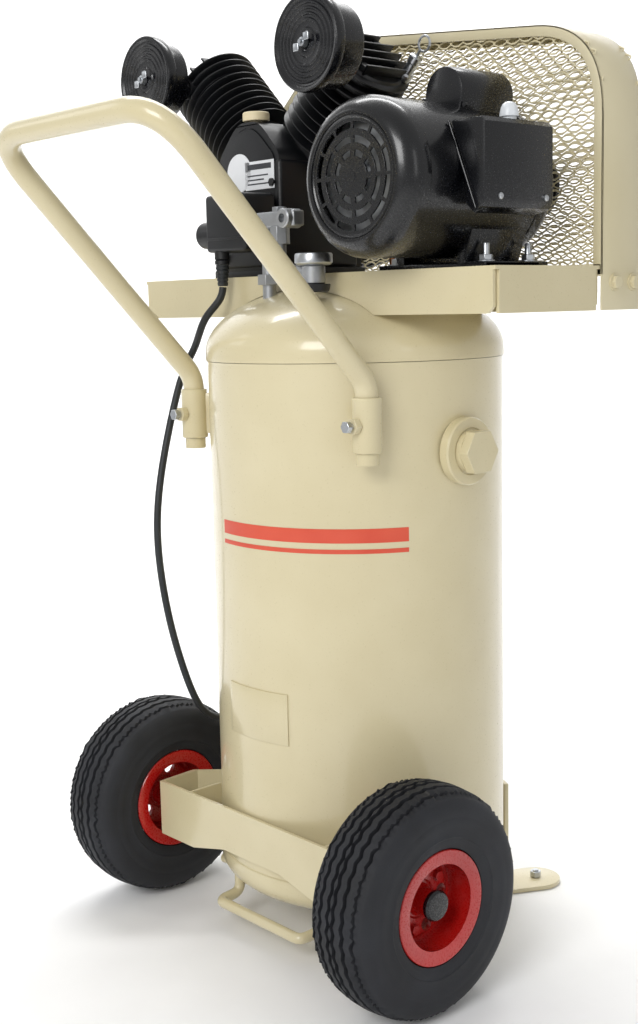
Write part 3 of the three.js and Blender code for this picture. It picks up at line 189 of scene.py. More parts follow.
CAST = dull("painted_sand_casting", [(0.3, "#08090b"), (0.7, "#101115")], (0.3, 0.5), 1.6, 0.25)
TYRE = dull("moulded_tyre_rubber", [(0.3, "#15161a"), (0.7, "#22242a")], (0.6, 0.8), 0.9, 0.15)
JACKET = dull("cord_jacket_rubber", [(0.3, "#191c1f"), (0.7, "#25292c")], (0.42, 0.6), 1.0, 0.05)
PLASTIC = dull("moulded_black_plastic", [(0.3, "#0e0f11"), (0.7, "#17181b")], (0.35, 0.5), 0.7, 0.04)
CAP = dull("moulded_cream_plastic", [(0.3, "#d8c9a4"), (0.7, "#e2d5b4")], (0.4, 0.55), 0.9, 0.05)
ZINC = metal("zinc_plated_steel", [(0.3, "#b4b8bd"), (0.7, "#d0d3d6")], (0.22, 0.38))
ALLOY = metal("die_cast_alloy", [(0.3, "#9b9da0"), (0.7, "#bcbec0")], (0.35, 0.55), 1.4, 0.12)
COPPER = metal("drawn_copper_tube", [(0.3, "#9a5c38"), (0.7, "#b87a50")], (0.25, 0.45))
BOOT = dull("translucent_rubber_boot", [(0.3, "#d6dade"), (0.7, "#e6eaee")], (0.2, 0.35), 1.0, 0.03)
PAPER = dull("printed_paper_label", [(0.3, "#d9dbde"), (0.7, "#e6e8ea")], (0.35, 0.5), 0.8, 0.02)
INK = dull("printed_dark_ink", [(0.3, "#2a2c30"), (0.7, "#3a3d42")], (0.4, 0.5), 0.8, 0.01)
DECAL = dull("printed_red_decal", [(0.3, "#cf4a33"), (0.7, "#d9583f")], (0.3, 0.4), 1.0, 0.01)

BY_SLOT = {
    "cream_paint": CREAM, "red_paint": RED, "black_paint": BLACK, "black_casting": CAST,
    "tyre_rubber": TYRE, "black_rubber": JACKET, "zinc_steel": ZINC, "cast_alloy": ALLOY,
    "copper_tube": COPPER, "black_plastic": PLASTIC, "oil_cap_plastic": CAP, "clear_rubber": BOOT,
}
SLOT_OF = {part["node"]: part["material_slot"] for part in frame["record"]["subparts"]}
for name, part in frame["nodes"].items():
    part.data.materials.clear()
    part.data.materials.append(BY_SLOT[SLOT_OF[name]])
print(len(BY_SLOT), "finishes on", len(frame["nodes"]), "packed pieces")

# %% [markdown]
# ## Modelling helpers
# Three shapes make nearly everything: a profile spun about an axis, a rod bent along a line, and a
# block or plate with its edges rounded. Each helper leaves a finished object at the origin.

# %% Modelling helpers
AXES = {
    "x": (Vector((0, 1, 0)), Vector((1, 0, 0))),
    "y": (Vector((1, 0, 0)), Vector((0, 1, 0))),
    "z": (Vector((1, 0, 0)), Vector((0, 0, 1))),
}
BANK = {"left": Vector((-1, 0, 1)).normalized(), "right": Vector((1, 0, 1)).normalized()}


def pick(*objects):
    """Selects just these objects and makes the first one active."""
    bpy.ops.object.select_all(action="DESELECT")
    for one in objects:
        one.select_set(True)
    bpy.context.view_layer.objects.active = objects[0]


def linked(name, data):
    """A new object in the scene, selected and active."""
    made = bpy.data.objects.new(name, data)
    bpy.context.scene.collection.objects.link(made)
    pick(made)
    return made


def from_points(name, points, edges, faces):
    mesh = bpy.data.meshes.new(name)
    mesh.from_pydata(points, edges, faces)
    return linked(name, mesh)


def clean(made):
    """Merges double points and turns every face outwards."""
    pick(made)
    bpy.ops.object.mode_set(mode="EDIT")
    bpy.ops.mesh.select_all(action="SELECT")
    bpy.ops.mesh.remove_doubles(threshold=1e-6)
    bpy.ops.mesh.normals_make_consistent(inside=False)
    bpy.ops.object.mode_set(mode="OBJECT")


def thickened(made, shift):
    """Extrudes a flat sheet by a shift in metres and closes it."""
    pick(made)
    bpy.ops.object.mode_set(mode="EDIT")
    bpy.ops.mesh.select_all(action="SELECT")
    bpy.ops.mesh.extrude_region_move(TRANSFORM_OT_translate={"value": shift})
    bpy.ops.object.mode_set(mode="OBJECT")
    clean(made)


def smooth(made, angle=32):
    pick(made)
    bpy.ops.object.shade_smooth_by_angle(angle=math.radians(angle))


def soften(made, width_mm, segments=2, angle=40):
    """Rounds the sharp edges a little, as paint and tooling do."""
    bevel = made.modifiers.new("soften", "BEVEL")
    bevel.width = width_mm / 1000
    bevel.segments = segments
    bevel.limit_method = "ANGLE"
    bevel.angle_limit = math.radians(angle)
    bevel.use_clamp_overlap = True
    pick(made)
    bpy.ops.object.modifier_apply(modifier="soften")


def spun(name, profile, centre, axis="z", steps=96):
    """A profile of (radius, distance) pairs in millimetres, spun about an axis through centre."""
    across, along = AXES[axis] if isinstance(axis, str) else (Vector((0, 1, 0)), axis)
    points = [centre + across * (r / 1000) + along * (h / 1000) for r, h in profile]
    made = from_points(name, points, [(i, i + 1) for i in range(len(points) - 1)], [])
    bpy.ops.object.mode_set(mode="EDIT")
    bpy.ops.mesh.select_all(action="SELECT")
    bpy.ops.mesh.spin(steps=steps, angle=2 * math.pi, center=centre, axis=along)
    bpy.ops.object.mode_set(mode="OBJECT")
    clean(made)
    smooth(made)
    return made


def bent(name, corners, radii, radius_mm, closed=False, sides=5):
    """A round rod along straight runs, with each inner corner rounded."""
    line = [corners[0]]
    for i in range(1, len(corners) - 1):
        before = (corners[i] - corners[i - 1]).normalized()
        after = (corners[i + 1] - corners[i]).normalized()
        reach = radii[i - 1] / 1000
        start, end = corners[i] - before * reach, corners[i] + after * reach
        for k in range(13):
            t = k / 12
            line.append(start * (1 - t) ** 2 + corners[i] * 2 * t * (1 - t) + end * t ** 2)
    line.append(corners[-1])
    curve = bpy.data.curves.new(name, "CURVE")
    curve.dimensions = "3D"
    curve.bevel_depth = radius_mm / 1000
    curve.bevel_resolution = sides
    curve.use_fill_caps = True
    spline = curve.splines.new("POLY")
    spline.points.add(len(line) - 1)
    for point, place in zip(spline.points, line):
        point.co = (*place, 1.0)
    spline.use_cyclic_u = closed
    made = linked(name, curve)
    bpy.ops.object.convert(target="MESH")
    smooth(made, 50)
    return made


def block(name, low, high, round_mm=1.0, segments=2):
    """A box between two corners, with rounded edges."""
    size = high - low
    bpy.ops.object.select_all(action="DESELECT")
    bpy.ops.mesh.primitive_cube_add(size=1.0, location=(low + high) / 2)
    made = bpy.context.object
    made.name = name
    made.scale = size
    bpy.ops.object.transform_apply(location=True, rotation=True, scale=True)
    if round_mm:
        soften(made, round_mm, segments)
    smooth(made)
    return made


def plate(name, outline, y0, depth, round_mm=0.6):
    """A flat outline in X and Z, thickened along Y."""
    points = [at(x, y0, z) for x, z in outline]
    made = from_points(name, points, [], [list(range(len(points)))])
    thickened(made, (0, depth / 1000, 0))
    if round_mm:
        soften(made, round_mm, 2, 50)
    smooth(made)
    return made


def hexagon(name, across_mm, centre, axis, length_mm):
    """A hexagonal head or nut with its corners turned down."""
    a, l = across_mm / math.sqrt(3), length_mm / 2
    made = spun(name, [(0, -l), (a, -l), (a, l), (0, l)], centre, axis, 6)
    soften(made, 0.6, 2, 20)
    return made


def turned(made, axis, degrees, shift):
    """Turns an object about an axis through the origin, then moves it, and applies both."""
    pick(made)
    angles = {"x": (1, 0, 0), "y": (0, 1, 0), "z": (0, 0, 1)}[axis]
    made.rotation_euler = [math.radians(degrees) * share for share in angles]
    made.location = shift
    bpy.ops.object.transform_apply(location=True, rotation=True, scale=True)
    return made


def merged(name, parts):
    """Joins several objects into the first and names it."""
    pick(*parts)
    bpy.ops.object.join()
    made = bpy.context.object
    made.name = name
    return made


def place_piece(made, body, finish, replaces=(), slot=None):
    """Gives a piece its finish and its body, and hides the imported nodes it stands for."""
    made.data.materials.clear()
    made.data.materials.append(finish)
    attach(made, body)
    if replaces:
        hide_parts(*replaces)
        slot = slot or SLOT_OF[replaces[0]]
    return made

# %% [markdown]
# ## Tank
# The receiver is a rolled steel tube with two pressed heads welded on. Spinning one profile gives the
# shell and lower head; the upper head overlaps it with a small lip, where the weld shows as a line.
# A threaded boss with a hexagonal plug stands on the right, and a curved plate holder on the front.

# %% Tank shell
PORT_Z = 596.0
TANK_R, SEAM_LOW, SEAM_HIGH, SKIRT, DOME_H, DISH_H = 178.0, 94.0, 699.0, 10.0, 82.0, 55.0


def half_ellipse(reach, rise, rows=24):
    steps = [math.pi / 2 * i / rows for i in range(rows + 1)]
    return [(reach * math.cos(t), rise * math.sin(t)) for t in steps]


dish = [(r, SEAM_LOW - SKIRT - h) for r, h in half_ellipse(TANK_R + 2, DISH_H)][::-1]
wall = [(TANK_R + 2, SEAM_LOW - 1), (TANK_R + 1.2, SEAM_LOW + 1.2), (TANK_R, SEAM_LOW + 2),
        (TANK_R, SEAM_HIGH - 3), (TANK_R + 0.8, SEAM_HIGH - 0.4), (TANK_R - 3, SEAM_HIGH - 0.4)]
shell = spun("rolled_tank_shell", [(0, dish[0][1])] + dish[1:] + wall, at(0, 0, 0), "z", 160)
boss = spun("boss", [(0, 0), (38.6, 0), (38.6, 10), (37, 12), (27, 12), (26, 10.5), (25, 10.5), (0, 10.5)],
            at(TANK_R - 1, 0, PORT_Z), "x", 64)
holder_points = []
for radius in (TANK_R - 0.5, TANK_R + 1.8):
    for low in (261, 322):
        for i in range(17):
            t = math.radians(-103 + 2 * i)
            holder_points.append(at(radius * math.cos(t), radius * math.sin(t), low))
faces = []
for i in range(16):
    a, b, c, d = i, i + 17, i + 34, i + 51
    faces += [(a, a + 1, b + 1, b), (c, d, d + 1, c + 1), (a, c, c + 1, a + 1), (b, b + 1, d + 1, d)]
faces += [(0, 17, 51, 34), (16, 50, 67, 33)]
holder = from_points("holder", holder_points, [], faces)
clean(holder)
soften(holder, 0.8)
smooth(holder)
tank = merged("rolled_tank_shell", [shell, boss, holder])
place_piece(tank, "frame", CREAM, ["tank_shell"])

head = [(TANK_R + 0.5, 0.0), (TANK_R + 2, 0.4), (TANK_R + 2.4, 3.0), (TANK_R + 2, 8.0)]
head += [(r, SKIRT + h) for r, h in half_ellipse(TANK_R + 2, DOME_H, 28)]
head[-1] = (0, SKIRT + DOME_H)
dome = spun("pressed_upper_head", [(TANK_R - 4, 0.0)] + head, at(0, 0, SEAM_HIGH), "z", 160)
place_piece(dome, "frame", CREAM, ["tank_top_head"])
print("tank stands", SEAM_HIGH + SKIRT + DOME_H, "mm high")

# %% Tank plug
neck = spun("neck", [(0, -8), (24.4, -8), (24.4, 17), (0, 17)], at(TANK_R, 0, PORT_Z), "x", 48)
nut = hexagon("nut", 46, at(TANK_R + 22.4, 0, PORT_Z), "x", 13)
place_piece(merged("hexagonal_tank_plug", [neck, nut]), "frame", CREAM, ["tank_plug"])

# %% [markdown]
# Two plain red stripes run part of the way round the shell. They are thin decals, lifted a few
# tenths of a millimetre so that they never fight the paint.

# %% Decal
def wrapped(name, bearing, z_low, z_high, width_deg, lift=0.35, steps=40):
    points, faces = [], []
    for i in range(steps + 1):
        t = math.radians(bearing + width_deg * i / steps)
        r = TANK_R + lift
        points += [at(r * math.cos(t), r * math.sin(t), z_low), at(r * math.cos(t), r * math.sin(t), z_high)]
        if i:
            k = 2 * i
            faces.append((k - 2, k, k + 1, k - 1))
    made = from_points(name, points, [], faces)
    clean(made)
    smooth(made, 60)
    return made


wide = wrapped("wide", -104.5, 500, 516, 80.0)
thin = wrapped("thin", -104.5, 488, 493, 80.0)
place_piece(merged("printed_red_stripes", [wide, thin]), "frame", DECAL, slot="red_paint")

# %% [markdown]
# ## Handle and sockets
# One bent steel tube makes the handle. Its legs drop into two welded sockets, each with a nut and a
# clamp bolt. The lower ends show below the sockets.

# %% Handle
SOCKET_X, SOCKET_Y, SOCKET_Z, TUBE_R = 155.0, -128.5, 633.0, 12.7
GRIP_Y, GRIP_Z, KNEE_Z, LEG_END = -387.0, 950.0, 678.0, 590.0
leg = [(SOCKET_Y, LEG_END), (SOCKET_Y, KNEE_Z), (GRIP_Y, GRIP_Z)]
corners = [at(-SOCKET_X, y, z) for y, z in leg] + [at(SOCKET_X, y, z) for y, z in reversed(leg)]
handle = bent("bent_tube_handle", corners, [16, 62, 62, 16], TUBE_R, sides=9)
place_piece(handle, "push_handle", CREAM, ["handle"])

# %% Sockets and clamp bolts
SIDES = (("right", 1), ("left", -1))
for side, s in SIDES:
    pipe_wall = [(13.3, -30), (15.2, -30), (16, -29.2), (16, 29.2), (15.2, 30), (13.3, 30), (13.3, -30)]
    pipe = spun("pipe", pipe_wall, at(s * SOCKET_X, SOCKET_Y, SOCKET_Z), "z", 48)
    outward = Vector((s * SOCKET_X, SOCKET_Y, 0)).normalized()
    foot = at(0, 0, SOCKET_Z) + outward * 0.1835
    half_web = Vector((0.007, 0.0045, 0.025))
    web = block("web", foot - half_web, foot + half_web, 1.5)
    pick(web)
    bpy.ops.transform.rotate(value=-math.atan2(outward.y, outward.x), orient_axis="Z", center_override=foot)
    bpy.ops.object.transform_apply(location=True, rotation=True, scale=True)
    nut = hexagon("nut", 16, at(s * SOCKET_X, SOCKET_Y - 19.4, SOCKET_Z), "y", 8)
    place_piece(merged("welded_socket_" + side, [pipe, web, nut]), "frame", CREAM, ["socket_" + side])
    shank_line = [(0, -2), (3.9, -2), (3.9, 13.6), (0, 13.6)]
    shank = spun("shank", shank_line, at(s * SOCKET_X, SOCKET_Y - 27, SOCKET_Z), "y", 24)
    head = hexagon("head", 12, at(s * SOCKET_X, SOCKET_Y - 30, SOCKET_Z), "y", 6)
    bolt = merged("zinc_clamp_bolt_" + side, [head, shank])
    place_piece(bolt, "clamp_" + side, ZINC, ["clamp_bolt_" + side])

# %% [markdown]
# ## Wheels
# A pneumatic tyre is spun from a section with six grooves in its tread. The grooves then zigzag,
# because the tread's points are moved sideways in step with their bearing, and the outer ribs are
# notched. The rim is a pressed red disc with five holes, five bolts and a deep well, and the stub
# axle ends in a round cap.

# %% Tyres
ZIGZAGS, NOTCHES = 46, 92


def tyre_section():
    """Half section outwards from the bead, with the tread's grooves, mirrored for the other half."""
    side = [(63.8, 34.0), (64.2, 37.6), (70, 40.6), (76, 41.4), (77, 42.3), (79, 42.3), (80, 41.9),
            (90, 43.3), (97, 43.5), (98, 43.1), (100, 43.1), (106, 42.6), (112, 40.6), (117, 37.4),
            (118.5, 35.6)]
    tread = [(121.5, 32.5), (122.6, 31.0), (118.6, 30.2), (118.8, 27.4), (123.8, 26.6), (125.3, 19.2),
             (121, 18.4), (121, 14.6), (125.9, 13.8), (126.6, 6.4), (122, 5.6), (122, 2.0), (126.9, 1.2)]
    half = side + tread
    return half + [(r, -x) for r, x in reversed(half)]


def tyre(name, centre):
    made = spun(name, tyre_section(), centre, "x", 192)
    for point in made.data.vertices:
        away = point.co - centre
        radius, across = math.hypot(away.y, away.z) * 1000, away.x * 1000
        if radius < 117.5 or abs(across) > 33.5:
            continue
        bearing = math.atan2(away.z, away.y)
        wave = 2 * abs(2 * ((bearing * ZIGZAGS / (2 * math.pi)) % 1.0) - 1) - 1
        point.co.x += 0.0016 * wave * (1 if across > 0 else -1)
        if abs(across) > 26 and radius > 119:
            notch = ((bearing * NOTCHES / (2 * math.pi)) % 1.0) < 0.4
            shrink = 0.975 if notch else 1.0
            point.co.y = centre.y + away.y * shrink
            point.co.z = centre.z + away.z * shrink
    return made


for side, s in SIDES:
    centre = at(s * TRACK_HALF, AXLE_Y, WHEEL_Z)
    place_piece(tyre("pneumatic_tyre_" + side, centre), "wheel_" + side, TYRE, ["tyre_" + side])

# %% Rims and axle caps
BOLT_CIRCLE = 0.033


def pressed_rim(name, centre, s):
    lip = [(47, -36.5), (58, -38.6), (62.2, -38.4), (63, -37.4), (62.8, -35), (61, -34.4), (53, -34.0),
           (51.5, -31), (50.5, -20)]
    well = lip + [(r, -x) for r, x in reversed(lip)] + [(48.5, 34), (48.2, 0), (48.5, -34), (47, -36.5)]
    barrel = spun("barrel", well, centre, "x", 96)
    dished = [(9, 3), (20, 3), (22, 5), (40, 5), (44, 2.5), (48.8, 2.5), (48.8, -2.5), (44, -2.5),
              (40, 0), (22, 0), (20, -2), (9, -2), (9, 3)]
    disc = spun("disc", dished, centre, "x", 96)
    cutters = []
    for i in range(5):
        t = 2 * math.pi * i / 5
        bpy.ops.object.select_all(action="DESELECT")
        spot = centre + BOLT_CIRCLE * Vector((0, math.cos(t), math.sin(t)))
        bpy.ops.mesh.primitive_cylinder_add(vertices=32, radius=0.0078, depth=0.04, location=spot,
                                            rotation=(0, math.pi / 2, 0))
        cutters.append(bpy.context.object)
    cutter = merged("cutter", cutters)
    holes = disc.modifiers.new("holes", "BOOLEAN")
    holes.object = cutter
    pick(disc)
    bpy.ops.object.modifier_apply(modifier="holes")
    bpy.data.objects.remove(cutter)
    sleeve = [(8.4, -24), (15, -24), (15, -8), (18, -4), (18, 6), (15, 10), (15, 24), (8.4, 24), (8.4, -24)]
    hub = spun("hub", sleeve, centre, "x", 48)
    parts = [barrel, disc, hub]
    for i in range(5):
        t = 2 * math.pi * (i + 0.5) / 5
        spot = centre + BOLT_CIRCLE * Vector((0, math.cos(t), math.sin(t)))
        parts.append(hexagon("bolt", 11, spot + Vector((s * 0.006, 0, 0)), "x", 9))
    return merged(name, parts)


AXLE = [(0, 120), (8, 120), (8, 262), (16, 262), (17, 263.5), (17, 267), (15, 269.5), (9, 270.5), (0, 270.8)]
for side, s in SIDES:
    centre = at(s * TRACK_HALF, AXLE_Y, WHEEL_Z)
    place_piece(pressed_rim("pressed_steel_rim_" + side, centre, s), "wheel_" + side, RED, ["rim_" + side])
    axle = spun("stub_axle_" + side, AXLE, at(0, AXLE_Y, WHEEL_Z), Vector((s, 0, 0)), 48)
    place_piece(axle, "frame", BLACK, ["axle_" + side])

# %% [markdown]
# ## Drain guard
# A bent rod under the tank keeps the drain from being knocked when the machine is tipped.

# %% Drain guard
half_loop = [(110, -139, 69), (80, -139, 71), (78, -141, 35), (76, -175, 33)]
loop = [at(-x, y, z) for x, y, z in half_loop] + [at(x, y, z) for x, y, z in reversed(half_loop)]
guard_rod = bent("bent_drain_guard", loop, [11, 11, 11, 11, 11, 11], 6.5, sides=6)
place_piece(guard_rod, "frame", CREAM, ["drain_guard"])

# %% [markdown]
# ## Belt guard
# A wide sheet band is bent over the top with round corners, and flat frames hold expanded metal in
# front and behind. Expanded metal is slit and stretched sheet: blunt-ended openings in staggered rows.

# %% Guard band and frames
GUARD_Y0, GUARD_DEPTH, GUARD_X = 81.0, 68.0, 306.3


def rounded(points, reaches, steps=14):
    """An open outline whose inner corners are rounded over the given reach."""
    out = [points[0]]
    for i in range(1, len(points) - 1):
        p = Vector(points[i])
        a = (Vector(points[i - 1]) - p).normalized() * reaches[i - 1]
        b = (Vector(points[i + 1]) - p).normalized() * reaches[i - 1]
        for k in range(steps + 1):
            t = k / steps
            out.append(tuple(p + a * (1 - t) ** 2 + b * t ** 2))
    out.append(points[-1])
    return out


def inset(line, d):
    """The same outline moved inwards."""
    out = []
    for i, (x, z) in enumerate(line):
        ax, az = line[max(0, i - 1)]
        bx, bz = line[min(len(line) - 1, i + 1)]
        length = math.hypot(bx - ax, bz - az)
        out.append((x - d * (bz - az) / length, z + d * (bx - ax) / length))
    return out


def guard_line(low):
    corners = [(GUARD_X, low), (GUARD_X, 1052), (-128, 1098), (-GUARD_X, 948), (-GUARD_X, low)]
    return rounded(corners, [92, 60, 50])


def strip(name, line, width, y0, depth):
    """A band of even width that follows an outline, as a row of quads thickened along Y."""
    inner = inset(line, width)
    points = [at(x, y0, z) for x, z in line] + [at(x, y0, z) for x, z in inner]
    n = len(line)
    faces = [(i, i + 1, n + i + 1, n + i) for i in range(n - 1)]
    made = from_points(name, points, [], faces)
    thickened(made, (0, depth / 1000, 0))
    soften(made, 0.5, 2, 60)
    smooth(made, 40)
    return made


parts = [strip("band", guard_line(750), 2.0, GUARD_Y0, GUARD_DEPTH)]
for y in (GUARD_Y0, GUARD_Y0 + GUARD_DEPTH - 2):
    parts.append(strip("frame", guard_line(788), 12.0, y, 2.0))
    parts.append(plate("sill", [(-305, 788), (305, 788), (305, 800), (-305, 800)], y, 2.0))
for y in (104, 137):
    for s in (-1, 1):
        parts.append(hexagon("bolt", 13, at(s * (GUARD_X + 2.9), y, 780), "x", 6))
        washer = [(0, -0.8), (9.5, -0.8), (9.5, 0.8), (0, 0.8)]
        parts.append(spun("washer", washer, at(s * (GUARD_X + 0.8), y, 780), "x", 32))
place_piece(merged("folded_guard_band", parts), "frame", GUARD_CREAM, ["guard_band"])

# %% Expanded metal
CELL_W, CELL_H, STRAND = 19.0, 9.6, 1.3


def inside(x, z, line):
    hit = False
    for (ax, az), (bx, bz) in zip(line, line[1:] + line[:1]):
        if (az > z) != (bz > z) and x < (bx - ax) * (z - az) / (bz - az) + ax:
            hit = not hit
    return hit


def expanded_metal(name, y, shafts):
    """One eight-cornered ring per opening, with its strands leaning as stretching leaves them."""
    edge = inset(guard_line(789), 4.0)
    points, faces = [], []
    rows = int(310 / CELL_H)
    for row in range(rows):
        for col in range(-17, 18):
            x = col * CELL_W + (row % 2) * CELL_W / 2
            z = 792 + row * CELL_H
            if not inside(x, z, edge) or any(math.hypot(x - sx, z - sz) < r for sx, sz, r in shafts):
                continue
            w, h = CELL_W / 2, CELL_H
            ring = [(-w, -h * 0.16), (-w * 0.34, -h * 0.5), (w * 0.34, -h * 0.5), (w, -h * 0.16),
                    (w, h * 0.16), (w * 0.34, h * 0.5), (-w * 0.34, h * 0.5), (-w, h * 0.16)]
            base = len(points)
            for share in (1.0, 1 - 2.6 * STRAND / CELL_H):
                for px, pz in ring:
                    lean = 0.9 if share == 1.0 else -0.5 * (1 if pz > 0 else -1)
                    grow = (1 - STRAND * 2 / CELL_W) if share != 1.0 else 1.0
                    points.append(at(x + px * grow, y + lean * (1 if pz > 0 else -1), z + pz * share))
            for k in range(8):
                j = (k + 1) % 8
                faces.append((base + k, base + j, base + 8 + j, base + 8 + k))
    made = from_points(name, points, [], faces)
    thick = made.modifiers.new("thick", "SOLIDIFY")
    thick.thickness = 0.0012
    thick.offset = 0
    pick(made)
    bpy.ops.object.modifier_apply(modifier="thick")
    smooth(made, 30)
    return made


front = expanded_metal("expanded_metal_front", 84.2, [(-122, 915, 26), (172, 892, 20)])
place_piece(front, "frame", GUARD_CREAM, ["guard_front_mesh"])
rear = expanded_metal("expanded_metal_rear", 145.8, [])
place_piece(rear, "frame", GUARD_CREAM, ["guard_rear_mesh"])
print("expanded metal faces", len(front.data.polygons), len(rear.data.polygons))

# %% [markdown]
# ## Pump
# The crankcase is a tall casting with sloped shoulders, on which two finned cylinders stand at right
# angles. Each cylinder carries a finned head, and each head breathes through a round filter.

# %% Pump measures
PUMP_X, PUMP_Z = -122.0, 915.0
CYL_Y = {"left": -2.0, "right": 22.0}
SIGN = {"left": -1, "right": 1}
FIN_R, CYL_BASE, HEAD_AT, HEAD_TOP = 56.0, 66.0, 156.0, 189.0
crank_at = {side: at(PUMP_X, CYL_Y[side], PUMP_Z) for side in BANK}


def case_outline(grow=0.0):
    half, top = 58.5 + grow, 985.0 + grow
    right_half = [(half, 806 - grow), (half, 944 + grow * 0.4), (half - 30, 977 + grow), (half - 44, top)]
    left_half = [(-x, z) for x, z in reversed(right_half)]
    return rounded([(x + PUMP_X, z) for x, z in right_half + left_half], [10, 10, 8, 8, 10, 10], 5)


# %% Crankcase
case = plate("case", case_outline(), -58, 124, 3.0)
case_face = plate("case_face", case_outline(-7), -60.2, 3.5, 1.2)
lower = block("lower", at(PUMP_X - 61, -60, 809), at(PUMP_X + 61, 67, 937), 5.0, 4)
flange = block("flange", at(PUMP_X - 75, -58, 798.3), at(PUMP_X + 75, 66, 808.3), 2.0, 2)
parts = [case, case_face, lower, flange]
for side, axis in BANK.items():
    parts.append(spun("boss", [(0, 36), (42, 36), (42, 65.7), (0, 65.7)], crank_at[side], axis, 64))
    for k in range(4):
        t = math.pi / 4 + k * math.pi / 2
        sideways = axis.cross(Vector((0, 1, 0)))
        spot = crank_at[side] + axis * 0.0635
        spot = spot + Vector((0, 0.047 * math.sin(t), 0)) + sideways * 0.047 * math.cos(t)
        parts.append(hexagon("case_bolt", 10, spot, axis, 9))
for dx in (-48, 48):
    for z in (822, 866, 910):
        parts.append(hexagon("cover_bolt", 9, at(PUMP_X + dx, -61.5, z), "y", 5))
casting = merged("cast_crankcase", parts)
place_piece(casting, "frame", CAST, ["crankcase"])

# %% Cylinders
def cylinder(name, side):
    """A barrel with seven thin fins, each rounded at its rim, spun about the cylinder's own axis."""
    profile = [(32.3, CYL_BASE + 0.3), (39, CYL_BASE + 0.3)]
    for i in range(7):
        a = CYL_BASE + 8 + i * 12
        profile += [(39, a - 2.6), (41, a - 1.8), (FIN_R - 1, a - 1.1), (FIN_R, a - 0.5), (FIN_R, a + 0.5),
                    (FIN_R - 1, a + 1.1), (41, a + 1.8), (39, a + 2.6)]
    profile += [(39, HEAD_AT - 0.3), (32.3, HEAD_AT - 0.3), (32.3, CYL_BASE + 0.3)]
    return spun(name, profile, crank_at[side], BANK[side], 96)


for side in BANK:
    place_piece(cylinder("finned_cylinder_" + side, side), "frame", CAST, ["cylinder_" + side])

# %% Heads
def finned_head(name, side):
    axis = BANK[side]
    profile = [(0, HEAD_AT + 0.3), (47, HEAD_AT + 0.3)]
    for i in range(3):
        a = HEAD_AT + 4 + i * 12
        profile += [(47, a - 2.2), (FIN_R - 1, a - 1.3), (FIN_R, a - 0.6), (FIN_R, a + 0.6),
                    (FIN_R - 1, a + 1.3), (47, a + 2.2)]
    profile += [(47, HEAD_TOP - 3), (44, HEAD_TOP), (0, HEAD_TOP)]
    parts = [spun(name, profile, crank_at[side], axis, 96)]
    sideways = axis.cross(Vector((0, 1, 0)))
    for b in (-32, -16, 0, 16, 32):
        reach = math.sqrt(46 ** 2 - b ** 2)
        rib = block("rib", Vector((-0.0015, -reach / 1000, 0)), Vector((0.0015, reach / 1000, 0.014)), 0.8)
        foot = crank_at[side] + axis * (HEAD_TOP - 2) / 1000 + sideways * b / 1000
        parts.append(turned(rib, "y", SIGN[side] * 45, foot))
    for k in range(4):
        t = math.pi / 4 + k * math.pi / 2
        spot = crank_at[side] + axis * (HEAD_TOP + 3) / 1000
        spot = spot + Vector((0, 0.038 * math.sin(t), 0)) + sideways * 0.024 * math.cos(t) * 1.414
        parts.append(hexagon("head_bolt", 12, spot, axis, 8))
    mouth = crank_at[side] + axis * (HEAD_TOP - 12) / 1000
    parts.append(spun("inlet", [(0, -55.8), (13, -55.8), (13, -20), (0, -20)], mouth, "y", 40))
    return merged(name, parts)


for side in BANK:
    place_piece(finned_head("finned_head_" + side, side), "frame", CAST, ["head_" + side])

# %% [markdown]
# ### Air filters
# Each filter is a pressed can: a shallow lid with ridges pressed in rings, held by a wing nut, over a
# smaller drum. The ridges catch the light as thin bright rings.

# %% Filters
FILTER_R, FILTER_FRONT = 54.0, -100.0
filter_at = {side: at(PUMP_X + SIGN[side] * 156, 0, PUMP_Z + 137) for side in BANK}
for side, head_front in (("left", -58.0), ("right", -34.0)):
    f = FILTER_FRONT
    back = min(f + 50, head_front - 4)
    lid = [(0, 2.6), (8, 2.6), (9, 1.8), (15, 1.8), (16.5, 3.4), (20, 3.4)]
    for ring_r in (23, 29, 35, 41):
        lid += [(ring_r, 3.2), (ring_r + 1.2, 1.7), (ring_r + 2.6, 1.7), (ring_r + 3.8, 3.2)]
    lid += [(47, 2.6), (49, 0.4), (51.5, 0), (53.2, 0.8), (FILTER_R, 2.8), (FILTER_R, 12), (53.2, 13.4),
            (51, 14), (48.5, 14.2), (47.2, 16)]
    face = [(r, f + h) for r, h in lid] + [(47, back - 4), (46, back - 1.4), (43, back), (0, back)]
    can = spun("pressed_filter_" + side, face, filter_at[side], "y", 128)
    neck_at = Vector(crank_at[side]) + BANK[side] * (HEAD_TOP - 12) / 1000
    neck_at.y = at(0, 0, 0).y
    pipe_wall = [(0, back - 3), (11, back - 3), (11, head_front - 0.6), (0, head_front - 0.6)]
    neck = spun("neck", pipe_wall, neck_at, "y", 40)
    place_piece(merged("pressed_filter_can_" + side, [can, neck]), "frame", BLACK, ["filter_" + side])
    hub = spun("hub", [(0, -9.5), (2.6, -9.5), (2.6, -7), (5, -6.4), (5.6, -0.4), (0, -0.4)],
               filter_at[side] + Vector((0, (f + 2) / 1000, 0)), "y", 32)
    wings = []
    for s in (-1, 1):
        low = filter_at[side] + Vector((s * 0.0085 - 0.0045, (f - 6) / 1000, s * 0.005 - 0.0045))
        wings.append(block("wing", low, low + Vector((0.009, 0.003, 0.009)), 1.3, 3))
    place_piece(merged("zinc_wing_nut_" + side, [hub] + wings), "wing_" + side, ZINC, ["wing_nut_" + side])

